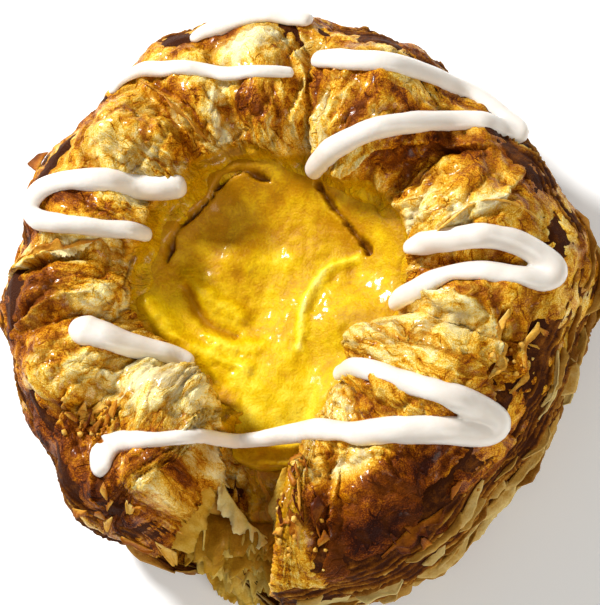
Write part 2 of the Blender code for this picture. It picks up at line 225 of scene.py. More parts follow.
# ---- Crust --------------------------------------------------------------------------------------
# The skin of the folded dough, egg-washed and baked: golden, toasted brown on what stands high,
# blistered, creased where the folds meet, and soaked yellow where it runs down under the custard.
# It is one closed skin, laid over the folds that the corners of the dough square make. Its colour also
# carries painted light: shade in the creases, cracks and under the lips, shadows beside the icing, and
# highlights on crests and lobes.
CENTRE_SHIFT = (2.44, -0.01)  # from the ring's centre to the middle of the pastry's outline
BOWL_FLOOR = 9.5
SECTION = [  # radius and height, from the bowl's floor over the crown to the table
    (13.0, BOWL_FLOOR), (16.2, 10.2), (18.6, 15.0), (21.6, 20.2), (26.6, 24.4), (35.5, 26.2),
    (42.2, 24.6), (46.8, 20.4), (48.8, 14.2), (49.0, 7.5), (47.2, 1.8), (45.4, 0.0),
]
CROWN_POINT = 5
# The folds: angle, its shift per millimetre outwards, half widths clockwise and anticlockwise, place
# along, reach towards the bowl and towards the side, height
FOLDS = {
    "left_lip": (130, 0.40, 11, 15, 0, 15, 19, 6.2),
    "left_inner": (155, 0.20, 13, 13, -2, 13, 18, 5.6),
    "left_side": (178, 0.00, 12, 10, 3, 14, 17, 4.8),
    "left_low": (199, 0.20, 13, 13, 3, 13, 17, 4.4),
    "front_left_inner": (231, 0.00, 17, 20, -9, 9, 9, 6.4),
    "front_left": (238, 0.00, 12, 17, 6, 12, 16, 5.0),
    "front_broken": (281, -0.30, 9, 11, 4, 10, 15, 4.0),
    "front_dark": (300, -0.60, 10, 12, 10, 12, 15, 5.6),
    "front_right": (323, -0.20, 22, 19, -2, 15, 17, 7.0),
    "right_small": (349, -0.10, 8, 9, 0, 14, 17, 5.0),
    "right_wide": (370, 0.00, 13, 20, 6, 18, 15, 5.6),
    "back_right": (416, 0.20, 20, 20, -3, 14, 18, 6.6),
    "back": (449, 0.30, 12, 13, -3, 12, 17, 5.4),
    "back_wedge": (469, 0.30, 8, 9, 2, 12, 16, 3.0),
}
# How much wider the outline is than the plain ring, every 15 degrees
EDGE = [
    3.2, -0.3, -1.8, -3.9, -1.4, -1.6, 1.4, 2.2, 1.0, -1.6, 0.1, -2.6,
    -1.7, -2.7, -3.7, -0.4, -3.0, -4.6, 1.2, 2.0, 1.8, -0.3, -0.1, 0.1,
]
CREASE_SOFTNESS = 0.5
SHOULDER_FILL, SHOULDER_SWELL = 0.8, 2.8  # the creases run out before the shoulder
LEAST_SWELL = -1.2
BOWL_LEANS = [(208, 11, 3.0), (237, 15, 1.5), (318, 22, 4.2), (66, 22, 1.6), (275, 13, -4.0)]
NOTCH_INNER, NOTCH_OUTER = 26.0, 46.0  # the torn notch at the front, from the custard to the edge
NOTCH_ANGLE_INNER, NOTCH_ANGLE_OUTER = 266.5, 256.0
NOTCH_HALF = 14.0
NOTCH_TOP, NOTCH_FOOT = 15.4, 4.0

CRUST_AROUND = 800
CRUST_INNER = -27.0  # along, where the skin starts under the custard
CRUST_OUTER = 12.5  # along, where it ends over the layered side at the front right
# How much further down it comes, every 20 degrees
CRUST_HANGS = [8, 9, 9, 9, 9, 9, 9, 9, 9, 8, 8, 7, 5, 2, 1, 1, 2, 5]
SKIN_THICKNESS = 1.6
SHEET_EVERY = 1.3  # between the thin sheets that the torn faces of the notch show

# How far along, every 20 degrees, the custard has soaked the skin
SOAKED_TO = [-13, -12, -11.5, -12, -12, -10.5, -10, -10.5, -11, -12.5, -15.5, -17.5, -18, -7, -12.5, -15, -17, -14.5]

# Lips: one fold's edge standing over its neighbour. Path, height, overhang and depth of the gap
# beside it; the raised fold lies to the left of the path.
LIPS = {
    "left_roll": ([(120, 8), (116, 1.5), (113, -3), (110, -9)], 1.5, 0.9, 1.6),
    "left_peel": ([(161, -6), (165, -2), (169, 3), (172, 9), (173, 13)], 1.9, 1.8, 2.2),
    "back_seam": ([(74.5, -11), (78.5, -7), (77, -2), (81.5, 3), (80, 7), (86, 11)], 1.0, 0.7, 1.4),
    "right_valley": ([(25, 9), (30, 4), (38, -1), (46, -8), (50, -12)], 1.2, 1.0, 1.7),
    "right_seam": ([(346, -12), (348, -5), (347, 1), (342, 5)], 1.0, 0.8, 1.3),
    "ruffle_high": ([(348, 5), (343, 4), (338, 6), (333, 5), (329, 7)], 0.9, 1.0, 1.4),
    "ruffle_low": ([(347, 9), (342, 8.4), (337, 10.5), (332, 9.5)], 0.9, 1.0, 1.5),
    "front_dark_edge": ([(279, 13), (285, 7), (290, 1), (294, -5)], 0.9, 0.6, 1.2),
    "gap_right": ([(273, 10), (270, 3), (266, -3), (260, -8)], 0.8, 1.2, 0.6),
    "gap_left": ([(251, -10), (250, -4), (247, 1), (243, 7)], 0.8, 1.2, 0.6),
    "front_left_seam": ([(221, -3), (226, 3), (231, 9)], 0.7, 0.8, 1.3),
    "left_seam": ([(187, 11), (184.5, 5), (181, -1), (180, -6)], 0.9, 0.6, 1.3),
    "left_low_seam": ([(212, 11), (210, 4), (207, -2)], 0.7, 0.5, 1.2),
    "inner_line": ([(205, -2), (209, -7), (207, -12)], 0.6, 0.4, 0.8),
    "inner_stripe": ([(222, -16), (230, -13), (238, -12.5), (246, -11)], 0.7, 0.5, 0.8),
    "dark_step": ([(312, 10), (305, 8), (299, 11), (292, 12)], 0.9, 0.8, 1.2),
    "right_fold": ([(19, 10), (13, 6), (9, 3), (8, -3)], 0.8, 0.6, 1.0),
    "triangle_fold": ([(303, -12), (311, -8), (318, -3), (320, 2)], 0.7, 0.5, 0.9),
}
# Ridges of stretched skin: path, height, half width
RIDGES = {
    "back_left": ([(102, 2), (105, -4), (109.5, -10)], 0.9, 0.7),
    "right_first": ([(29, -12), (24, -8), (21, -3)], 0.9, 0.6),
    "right_second": ([(19, -11), (16, -8), (14, -4)], 0.8, 0.5),
    "right_flap": ([(9, -5), (11, 0), (10, 5), (6, 8)], 0.9, 0.6),
    "fan_first": ([(72, -10), (70, -5), (66, 1)], 0.6, 0.5),
    "fan_second": ([(66, -10), (64, -5), (60, 0)], 0.6, 0.5),
    "corner": ([(108, -10), (104, -9.5), (97, -9.5)], 0.5, 0.7),
    "dark_top": ([(292, 0), (299, 0.5), (306, 3)], 0.8, 0.8),
    "triangle": ([(297, -13), (303, -7), (309, -2)], 0.6, 0.5),
    "triangle_short": ([(303, -12), (310, -9), (317, -7)], 0.5, 0.5),
    "left_top": ([(245, -8), (242, -2), (243, 3)], 0.6, 0.7),
}
# Cracks in the soaked wall: path, depth, half width
CRACKS = {
    "left_wall": ([(167, -17), (158, -18), (147, -18.6), (136, -18.2), (124, -18.4), (113, -19), (103, -19.5)], 1.3, 0.5),
    "back_wall": ([(103, -19.5), (92, -18.5), (80, -17)], 0.6, 0.25),
    "left_line": ([(183, -11.6), (174, -11), (166, -11.6), (160, -12.6)], 0.5, 0.3),
    "left_hole": ([(175.5, -12), (173, -12.2)], 1.0, 0.5),
    "slot": ([(232, -17.5), (242, -18.8), (252, -19.6)], 1.6, 0.7),
    "slit": ([(139, -4.5), (135, -5.5)], 0.4, 0.2),
}
# Large blisters: angle, along, half widths round and along, height
BLISTERS = [
    (126, -4, 5.0, 4.2, 1.5), (27, -1, 3.4, 5.0, 1.4), (141, -2, 4.0, 4.0, 0.9), (90, 4, 5.0, 3.6, 1.0),
    (97, -5, 3.0, 3.0, 0.9), (240, 3, 4.0, 3.0, 1.1), (246, -5, 2.6, 4.0, 0.9), (297, 3, 4.4, 3.0, 1.0),
    (340, -2, 4.0, 5.4, 1.2), (182, -7, 4.2, 3.6, 1.3), (205, 5, 3.6, 4.0, 1.0), (198, 8, 3.0, 5.0, 0.8),
    (131, 8, 3.0, 2.6, 0.8), (145, 5, 4.0, 3.0, 0.7), (109, 5, 5.0, 2.6, 0.8), (328, -8, 5.0, 5.0, 0.8),
    (216, -9, 5.0, 5.0, 0.7), (231, -10, 4.0, 4.0, 0.6), (302, 8, 4.0, 3.0, 0.9), (55, 0, 4.0, 3.0, 0.7),
    (12, 8, 3.4, 3.0, 0.8), (351, 6, 3.0, 3.0, 0.8), (67, 6, 5.0, 3.0, 0.7), (192, 4, 4.0, 4.0, 0.7),
]
# How much browner (above 0) or paler each place is: angle, along, reach round in degrees, reach along.
# The brown bands from 34 to 50 degrees and at 313 are painted shadows beside the icing strokes, and the pale
# spots near 137 to 143, 182, 228, 242 to 247, 297 and 335 to 338 degrees are painted light and highlights.
GOLDEN = 0.28
BROWNING_AND_PAINTED_LIGHT = [
    (94, -4, 7, 3.0, 0.34), (85, -6, 7, 3.0, 0.16), (98, 8.5, 3, 2.0, 0.45), (112, -1, 3, 6.0, 0.28),
    (118, 4, 2, 5.0, 0.30), (120, -7, 3, 2.5, 0.30), (131, 8, 4, 2.5, 0.34), (153, 0, 4, 9.0, 0.46),
    (163, 6, 4, 6.0, 0.36), (175, 0, 5, 6.0, 0.44), (181, 8, 6, 5.0, 0.42), (190, 7, 6, 4.0, 0.26),
    (208, 11, 10, 4.0, 0.42), (215, 4, 5, 5.0, 0.34), (222, 9, 8, 5.0, 0.52), (234, 9, 7, 5.0, 0.54),
    (240, -1.5, 9, 2.0, 0.28), (247, 4, 3, 5.0, 0.26), (268, -3, 4, 5.0, 0.34), (276, 4, 6, 6.0, 0.36),
    (284, 8, 7, 5.0, 0.36), (297, 9, 14, 5.0, 0.74), (304, 4, 6, 3.0, 0.26), (313, 7, 8, 3.5, 0.34),
    (309, -6, 6, 4.0, 0.26), (322, 4, 4, 5.0, 0.18), (334, 9, 8, 3.5, 0.28), (350, 6, 8, 4.0, 0.20),
    (357, -3, 4, 9.0, 0.28), (38, -4, 7, 4.0, 0.46), (34, 3, 6, 2.6, 0.48), (56, -3, 4, 3.0, 0.30),
    (50, 1.5, 14, 1.5, 0.34), (72, -1, 4, 5.0, 0.20), (25, 6, 6, 4.0, 0.24), (14, 10, 7, 2.5, 0.22),
    (91, 5, 6, 3.0, -0.20), (98, -8.5, 9, 2.4, -0.12), (106, -6, 2.5, 6.0, -0.16), (137, -1, 7, 3.0, -0.16),
    (143, -6, 7, 3.0, -0.14), (165, 2, 2.5, 6.0, -0.42), (182, -8, 5, 4.0, -0.26), (204, -1, 4, 3.0, -0.28),
    (228, -10, 16, 5.0, -0.42), (215, -4, 6, 5.0, -0.12), (242, 3, 4, 1.6, -0.30), (247, -5, 3, 3.0, -0.24),
    (297, 0.5, 8, 2.2, -0.30), (290, 3, 2.5, 6.0, -0.10), (335, -10, 10, 5.0, -0.22), (341, -1, 5, 5.0, -0.34),
    (338, 6, 5, 1.6, -0.30), (10, 0, 5, 5.0, -0.24), (20, -8, 6, 4.0, -0.28), (68, -6, 6, 4.0, -0.20),
    (355, 10, 14, 6.0, -0.12), (91, 2, 8, 6.0, -0.08), (112, 0, 8, 8.0, -0.10), (240, 4, 8, 6.0, 0.14),
    (300, 12, 14, 5.0, 0.24), (28, 0, 3, 4.0, -0.10), (12, 12, 6, 2.0, -0.12), (201, 8, 3, 3.0, -0.18),
]
# Where the skin is stretched into strands that run outwards: angle, along, reaches, amount
STRANDED = [(67, -4, 8, 7, 1.0), (153, -2, 6, 8, 0.7), (305, -7, 9, 6, 0.8), (36, -5, 8, 5, 0.6), (343, -10, 8, 5, 0.5)]
# Where it is knobbly and torn into threads
TANGLED = [(217, 1, 6, 5, 1.0), (277, 2, 8, 7, 1.0), (338, 8, 8, 4, 0.8), (94, -3, 6, 3, 0.7), (130, 8, 5, 3, 0.6)]


def smoothstep(low, high, value):
    part = np.clip((value - low) / (high - low), 0, 1)
    return part * part * (3 - 2 * part)


def smooth_line(points, step):
    """Points about step apart on a Catmull-Rom curve through the given ones, and where each lies."""
    points = np.array(points, float)
    padded = np.vstack([2 * points[0] - points[1], points, 2 * points[-1] - points[-2]])
    made, places = [], []
    for i in range(len(points) - 1):
        a, b, c, d = padded[i : i + 4]
        count = max(1, round(float(np.linalg.norm(c - b)) / step))
        for t in np.arange(count) / count:
            bend = a * (-t + 2 * t * t - t**3) + b * (2 - 5 * t * t + 3 * t**3)
            bend = bend + c * (t + 4 * t * t - 3 * t**3) + d * (t**3 - t * t)
            made.append(bend / 2)
            places.append(i + t)
    return np.array(made + [points[-1]]), np.array(places + [len(points) - 1.0])


def section_table():
    """(distance outwards from the crown line, radius, height) along the ring's section."""
    line, places = smooth_line(SECTION, 0.5)
    line = np.vstack([(0.0, BOWL_FLOOR), line, (0.0, 0.0)])
    along = np.concatenate([[0], np.cumsum(np.linalg.norm(np.diff(line, axis=0), axis=1))])
    crown = 1 + int(np.flatnonzero(places == CROWN_POINT)[0])
    return along - along[crown], line[:, 0], line[:, 1]


ALONG, RADIUS, HEIGHT = section_table()
FLOOR_EDGE, TABLE_EDGE = ALONG[1], ALONG[-2]


def turn_from(angle, middle):
    """The angle from middle, from -180 to 180 degrees."""
    return (angle - middle + 180) % 360 - 180


def swell(angle, along):
    """How far the folds push the dough out of its plain section."""
    total = np.exp(np.full(np.shape(angle), LEAST_SWELL) / CREASE_SOFTNESS)
    for centre, shift, clockwise, anticlockwise, place, inwards, outwards, height in FOLDS.values():
        turn = turn_from(angle - shift * along, centre)
        across = turn / np.where(turn < 0, clockwise, anticlockwise)
        lengthways = (along - place) / np.where(along < place, inwards, outwards)
        bump = height * (1 - across**2 - lengthways**2)
        total = total + np.exp(np.maximum(bump, LEAST_SWELL * 2) / CREASE_SOFTNESS)
    return CREASE_SOFTNESS * np.log(total)


def round_the_ring(values, angle):
    """The values, given at even steps from angle 0, eased from one to the next."""
    place = np.mod(angle, 360) * len(values) / 360
    before = np.floor(place).astype(int)
    share = smoothstep(0, 1, place - before)
    values = np.array(values, float)
    return values[before % len(values)] * (1 - share) + values[(before + 1) % len(values)] * share


def notch(angle, radius, spread=0.0):
    """1 inside the torn notch at the front, widened by spread degrees on each side, and 0 outside it."""
    out = np.clip((radius - NOTCH_INNER) / (NOTCH_OUTER - NOTCH_INNER), -0.3, 1.2)
    middle = NOTCH_ANGLE_INNER + (NOTCH_ANGLE_OUTER - NOTCH_ANGLE_INNER) * out
    return 1 - smoothstep(NOTCH_HALF - 2.0, NOTCH_HALF + 3.0, np.abs(turn_from(angle, middle)) - spread)


def dough_point(angle, along):
    """(x, y, z) in millimetres of the dough's surface, for an angle in degrees and a place along."""
    radius = np.interp(along, ALONG, RADIUS)
    height = np.interp(along, ALONG, HEIGHT)
    run = np.interp(along + 0.8, ALONG, RADIUS) - np.interp(along - 0.8, ALONG, RADIUS)
    rise = np.interp(along + 0.8, ALONG, HEIGHT) - np.interp(along - 0.8, ALONG, HEIGHT)
    length = np.hypot(run, rise) + 1e-9
    folded = smoothstep(FLOOR_EDGE + 3, FLOOR_EDGE + 15, along)
    folded = folded * (1 - 0.75 * smoothstep(TABLE_EDGE - 20, TABLE_EDGE - 4, along))
    folded = folded * (1 - smoothstep(TABLE_EDGE - 4, TABLE_EDGE, along))
    round_angle = np.radians(angle)
    ripple = 0.35 * np.sin(11 * round_angle + 0.35 * along) + 0.3 * np.sin(23 * round_angle - 0.5 * along)
    raised = swell(angle, along)
    raised = raised + SHOULDER_FILL * smoothstep(2, 11, along) * (SHOULDER_SWELL - raised)
    push = folded * (raised + ripple)
    outer = smoothstep(0, 12, along) * (1 - smoothstep(TABLE_EDGE + 5, TABLE_EDGE + 35, along))
    new_radius = radius - push * rise / length + round_the_ring(EDGE, angle) * outer
    leaning = smoothstep(FLOOR_EDGE, FLOOR_EDGE + 8, along) * (1 - smoothstep(-11, 0, along))
    for middle, half, lean in BOWL_LEANS:
        new_radius = new_radius - lean * np.exp(-((turn_from(angle, middle) / half) ** 2)) * leaning
    new_height = height + push * run / length
    slope = (NOTCH_FOOT - NOTCH_TOP) / (NOTCH_OUTER - NOTCH_INNER)
    torn = NOTCH_TOP + slope * (new_radius - NOTCH_INNER) + 1.1 * np.sin(new_radius * 0.9)
    torn = np.clip(torn, NOTCH_FOOT, NOTCH_TOP)
    new_height = new_height - notch(angle, new_radius) * np.maximum(new_height - torn, 0)
    x = new_radius * np.cos(round_angle) - CENTRE_SHIFT[0]
    y = new_radius * np.sin(round_angle) - CENTRE_SHIFT[1]
    return np.stack([x, y, np.maximum(new_height, 0)], axis=-1)


def dough_normal(angle, along):
    """The direction straight out of the dough's surface."""
    round_it = dough_point(angle + 0.6, along) - dough_point(angle - 0.6, along)
    outwards = dough_point(angle, along + 0.4) - dough_point(angle, along - 0.4)
    normal = np.cross(outwards, round_it)
    return normal / np.maximum(np.linalg.norm(normal, axis=-1, keepdims=True), 1e-9)


def even(values):
    """The values moved and scaled to a mean of 0 and a spread of 1."""
    return (values - values.mean()) / values.std()


def lumps(points, size, octaves=4):
    """Soft random relief, about -1 to 1, with lumps size millimetres across."""
    return np.array([noise.fractal(p, 0.9, 2.1, octaves) for p in (points / size).tolist()])


def crumple(points, size, octaves=4):
    """Random relief of sharp crests."""
    return even(np.array([noise.ridged_multi_fractal(p, 0.9, 2.1, octaves, 1, 2) for p in (points / size).tolist()]))


def puffs(points, size):
    """Puffs of skin about size millimetres across: how domed, the crease between them, each one's level."""
    found = [noise.voronoi(p) for p in (points / size).tolist()]
    gap = np.array([distances[1] - distances[0] for distances, _ in found])
    level = np.array([noise.cell(centres[0] * 9.7) for _, centres in found])
    return 1 - np.exp(-gap / 0.3), np.exp(-((gap / 0.13) ** 2)), even(level)


def spots(angle, along, places):
    """The sum of soft round spots, each an angle, a place along, two reaches and an amount."""
    total = np.zeros(np.shape(angle))
    for middle, place, reach_round, reach_along, amount in places:
        far = (turn_from(angle, middle) / reach_round) ** 2 + ((along - place) / reach_along) ** 2
        total += amount * np.exp(-far)
    return total


def beside(angle, along, path):
    """Each place's distance to the left of a path, and how near the middle of the path it is."""
    line, _ = smooth_line(path, 2.0)
    scale = np.radians(1) * np.interp(along, ALONG, RADIUS)
    nearest = np.full(np.shape(angle), 1e9)
    left = np.zeros(np.shape(angle))
    share = np.zeros(np.shape(angle))
    towards = np.zeros((*np.shape(angle), 2))
    for i, (start, end) in enumerate(zip(line, line[1:])):
        run = np.stack([turn_from(angle, start[0]) * scale, along - start[1]], axis=-1)
        leg = np.stack([turn_from(end[0], start[0]) * scale, np.full(np.shape(angle), end[1] - start[1])], axis=-1)
        size = np.maximum(np.linalg.norm(leg, axis=-1), 1e-9)
        part = np.clip((run * leg).sum(axis=-1) / size**2, 0, 1)
        away = np.linalg.norm(run - leg * part[..., None], axis=-1)
        side = (leg[..., 0] * run[..., 1] - leg[..., 1] * run[..., 0]) / size
        closer = away < nearest
        nearest = np.where(closer, away, nearest)
        left = np.where(closer, np.sign(side) * away, left)
        share = np.where(closer, (i + part) / (len(line) - 1), share)
        normal = np.stack([-leg[..., 1], leg[..., 0]], axis=-1) / size[..., None]
        towards = np.where(closer[..., None], normal, towards)
    return left, share, towards


def folded_edges(angle, along, wander):
    """What lips, ridges and cracks do: height, the shift round and along, paleness, depth and cracks."""
    height = np.zeros(np.shape(angle))
    shift = np.zeros((*np.shape(angle), 2))
    pale = np.zeros(np.shape(angle))
    deep = np.zeros(np.shape(angle))
    for path, rise, overhang, depth in LIPS.values():
        left, share, towards = beside(angle, along, path)
        left = left + 0.5 * wander
        strength = np.clip(np.sin(np.pi * np.clip(share, 0, 1)), 0, 1) ** 0.6
        raised = smoothstep(-0.2, 0.3, left) * np.exp(-np.maximum(left, 0) / 2.2)
        sunk = (1 - smoothstep(-0.5, 0.1, left)) * np.exp(np.minimum(left, 0) / 1.6)
        height += strength * (rise * raised - depth * sunk)
        shift -= (strength * overhang * raised)[..., None] * towards
        # A pale line on each lip's raised edge, partly stretched skin and partly a painted highlight; the sunk gap
        # beside it is kept as depth, which the colour darkens as painted shade.
        pale += strength * np.exp(-(((left - 0.3) / 0.45) ** 2))
        deep += strength * sunk
    for path, rise, half in RIDGES.values():
        left, share, _ = beside(angle, along, path)
        strength = np.clip(np.sin(np.pi * share), 0, 1) ** 0.6
        crest = strength * np.exp(-(((left + 0.4 * wander) / half) ** 2))
        height += rise * crest
        pale += 0.8 * crest
    crack = np.zeros(np.shape(angle))
    for path, sink, half in CRACKS.values():
        left, share, _ = beside(angle, along, path)
        opened = np.clip(np.sin(np.pi * share), 0, 1) ** 0.5 * np.exp(-(((left + 0.5 * wander) / half) ** 2))
        height -= sink * opened
        crack = np.maximum(crack, opened)
    return height, shift, pale, deep, crack


def rolled_sheet(rows, around, ring):
    """A sheet of rows rolled round the axis, closed through its middle or at two poles.

    Gives the mesh, and for each vertex its angle in degrees and its row.
    """
    bm = bmesh.new()
    row_layer, column_layer = bm.verts.layers.int.new("row"), bm.verts.layers.int.new("column")
    up = rows if ring else rows - 1
    for vert in bmesh.ops.create_grid(bm, x_segments=around, y_segments=up, size=1.0)["verts"]:
        column, row = round((vert.co.x + 1) / 2 * around), round((vert.co.y + 1) / 2 * up)
        vert[row_layer], vert[column_layer] = row % rows, column
        turn, slope = math.tau * column / around, math.tau * row / up
        if ring:
            radius, height = 3 + math.cos(slope), math.sin(slope)
        else:
            radius, height = math.sin(slope / 2), -math.cos(slope / 2)
        vert.co = (radius * math.cos(turn), radius * math.sin(turn), height)
    bmesh.ops.remove_doubles(bm, verts=bm.verts, dist=1e-5)
    angles = np.array([v[column_layer] for v in bm.verts]) * 360 / around - 180
    return bm, angles, np.array([v[row_layer] for v in bm.verts])


def move_to(bm, points):
    """Puts each vertex at its point, given in millimetres."""
    for vert, point in zip(bm.verts, points):
        vert.co = Vector(point) * MM


def add_piece(name, bm, material, fields, nodes):
    """Makes the mesh a piece of the pastry. The fields are what its material reads at each vertex."""
    bmesh.ops.recalc_face_normals(bm, faces=bm.faces)
    if bm.calc_volume(signed=True) < 0:
        bmesh.ops.reverse_faces(bm, faces=bm.faces)
    mesh = bpy.data.meshes.new(name)
    bm.to_mesh(mesh)
    bm.free()
    for field, values in fields.items():
        mesh.attributes.new(field, "FLOAT", "POINT").data.foreach_set("value", values.astype(np.float32))
    mesh.materials.append(material)
    mesh.shade_smooth()
    piece = bpy.data.objects.new(name, mesh)
    bpy.context.scene.collection.objects.link(piece)
    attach(piece, "root")
    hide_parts(*nodes)
    return piece


def crust_end(angle):
    """Where along the section the skin's outer border is."""
    round_angle = np.radians(angle)
    lowest = CRUST_OUTER + round_the_ring(CRUST_HANGS, angle)
    return lowest + 0.9 * np.sin(7 * round_angle + 1) + 0.6 * np.sin(17 * round_angle) + 0.4 * np.sin(31 * round_angle)


def crust_surface(angle, along):
    """The skin's points, and the toasting (with painted light), soaking and depth at each."""
    base = dough_point(angle, along)
    wander = lumps(base, 2.6, 3)
    height, shift, pale, deep, crack = folded_edges(angle, along, wander)
    turn = np.degrees(shift[..., 0] / np.maximum(np.interp(along, ALONG, RADIUS), 1))
    points = dough_point(angle + turn, along + shift[..., 1])
    normal = dough_normal(angle, along)
    soak_edge = round_the_ring(SOAKED_TO, angle) + 0.8 * wander
    soaked = 1 - smoothstep(-0.7, 0.9, along - soak_edge)
    tangled = np.clip(spots(angle, along, TANGLED), 0, 1)
    stranded = np.clip(spots(angle, along, STRANDED), 0, 1)
    dry = 1 - 0.8 * soaked
    soft = lumps(base + 40, 8.0, 3)
    drift = np.stack([lumps(base + shift_by, 7.0, 3) for shift_by in (11, 23, 37)], axis=-1)
    round_angle = np.radians(angle)
    lie = np.stack([38 * np.cos(round_angle), 38 * np.sin(round_angle), along], axis=-1)
    reach = np.hypot(base[:, 0] + CENTRE_SHIFT[0], base[:, 1] + CENTRE_SHIFT[1])
    beside_notch = notch(angle, reach, 6.0)[:, None]
    lie = lie * (1 - beside_notch) + base * beside_notch
    ringwise = smoothstep(-0.3, 0.3, 0.16 * (along - 2) + 1.2 * lumps(base + 90, 14.0, 2)) * (1 - stranded)
    bent = lie + 2.4 * drift + 0.5 * wander[:, None]
    kinds = []
    for size, stretch in ((6.5, 0.62), (2.6, 0.5)):
        rounding = puffs(bent * (stretch, stretch, 1), size)
        outgoing = puffs(bent * (1, 1, stretch) + 50, size)
        kinds.append([a * ringwise + b * (1 - ringwise) for a, b in zip(rounding, outgoing)])
    (large, large_crease, large_level), (small, small_crease, small_level) = kinds
    strands = crumple(lie * (1, 1, 0.14) + 0.6 * drift, 1.5, 3)
    threads = crumple(base + 80, 2.2, 3)
    for middle, place, half_round, half_along, rise in BLISTERS:
        reach = np.radians(turn_from(angle, middle)) * np.interp(along, ALONG, RADIUS) / half_round
        far = reach**2 + ((along - place) / half_along) ** 2 + 0.35 * wander
        height += 0.8 * rise * np.clip(1 - far, 0, 1) ** 0.8 * (far < 1)
    scaly = 0.5 + 0.5 * smoothstep(-0.3, 0.3, lumps(base + 120, 9.0, 2))
    relief = 0.6 * large + 0.12 * large_level - 0.2 * large_crease
    relief += scaly * (0.34 * small + 0.13 * small_level - 0.14 * small_crease)
    height += dry * (0.5 * soft + relief - 0.4)
    height += dry * (0.16 * stranded * strands + 0.26 * tangled * threads)
    edge = along - soak_edge
    height -= soaked * (0.5 + 0.3 * np.sin(along * 1.7 + 0.9 * wander)) * smoothstep(-28, -20, along)
    height += 0.4 * np.exp(-(((edge - 0.8) / 0.8) ** 2))
    settle = smoothstep(CRUST_INNER, CRUST_INNER + 4, along)
    torn = smoothstep(0.2, 1, notch(angle, reach, -3.0)) * smoothstep(-12, -7, along)
    sheet = (base[:, 2] + 3.4 * soft + 1.3 * wander) / SHEET_EVERY
    sheet = np.exp(-(((sheet - np.floor(sheet) - 0.5) / 0.2) ** 2))
    height = height * (1 - 0.6 * torn) + torn * (0.26 * sheet + 0.3)
    points = points + normal * (height * settle)[:, None]
    # The toasting carries painted light too: the spot table's painted shadows and highlights, painted shade in the gaps
    # beside the lips, and paler dome tops, crests, lip edges, strands and threads, partly painted highlights.
    toast = GOLDEN + spots(angle, along, BROWNING_AND_PAINTED_LIGHT) + 0.10 * soft
    toast += 0.05 * large_level + 0.05 * scaly * small_level - 0.10 * (large - 0.6)
    toast += 0.24 * deep - 0.16 * pale - 0.05 * tangled * threads - 0.06 * stranded * strands
    toast += 0.14 * smoothstep(6, 13, along)
    toast = np.where(toast > 0.62, 0.62 + 0.55 * (toast - 0.62), toast)
    toast = toast * (1 - torn) + torn * (0.4 - 0.14 * sheet + 0.12 * soft)
    # The puffs' creases, which the colour darkens: partly painted shade.
    crease = np.maximum(large_crease, 0.7 * scaly * small_crease) * (1 - torn)
    wet = np.maximum(soaked, 0.8 * torn * (1 - smoothstep(2, 10, along)))
    fields = {"toast": toast, "soak": wet, "deep": np.clip(deep, 0, 1), "crease": crease * dry, "crack": crack}
    fields.update(ringwise=ringwise, lie_x=lie[:, 0], lie_y=lie[:, 1], lie_out=lie[:, 2])
    return points, fields


def make_crust():
    wall = np.linspace(CRUST_INNER, -19, 6)[:-1]
    slope = np.linspace(-19, -10, 24)[:-1]
    top = np.linspace(-10, CRUST_OUTER, 88)
    outer = np.concatenate([wall, slope, top])
    share = np.clip((outer + 10) / (CRUST_OUTER + 10), 0, 1)
    under = np.linspace(CRUST_OUTER - 0.5, CRUST_INNER + 0.5, 6)
    along = np.concatenate([outer, under])
    bm, angles, rows = rolled_sheet(len(along), CRUST_AROUND, ring=True)
    on_top = rows < len(outer)
    hangs = np.concatenate([share**3, [1.0, 0.5], np.zeros(len(under) - 2)])
    stretch = hangs[rows] * (crust_end(angles) - CRUST_OUTER)
    place = along[rows] + stretch
    points, fields = crust_surface(angles, place)
    hidden = dough_point(angles, place) - dough_normal(angles, place) * SKIN_THICKNESS
    points[~on_top] = hidden[~on_top]
    move_to(bm, points)
    return add_piece("crust", bm, crust_finish(), fields, ["dough"])


BAKED = [
    (0.0, colour(254, 240, 180)),
    (0.15, colour(250, 222, 128)),
    (0.31, colour(237, 184, 56)),
    (0.47, colour(210, 139, 14)),
    (0.63, colour(160, 88, 3)),
    (0.8, colour(102, 46, 2)),
    (1.0, colour(50, 20, 1)),
]
SOAKED = [(0.25, colour(180, 124, 2)), (0.5, colour(206, 154, 4)), (0.75, colour(232, 196, 30))]


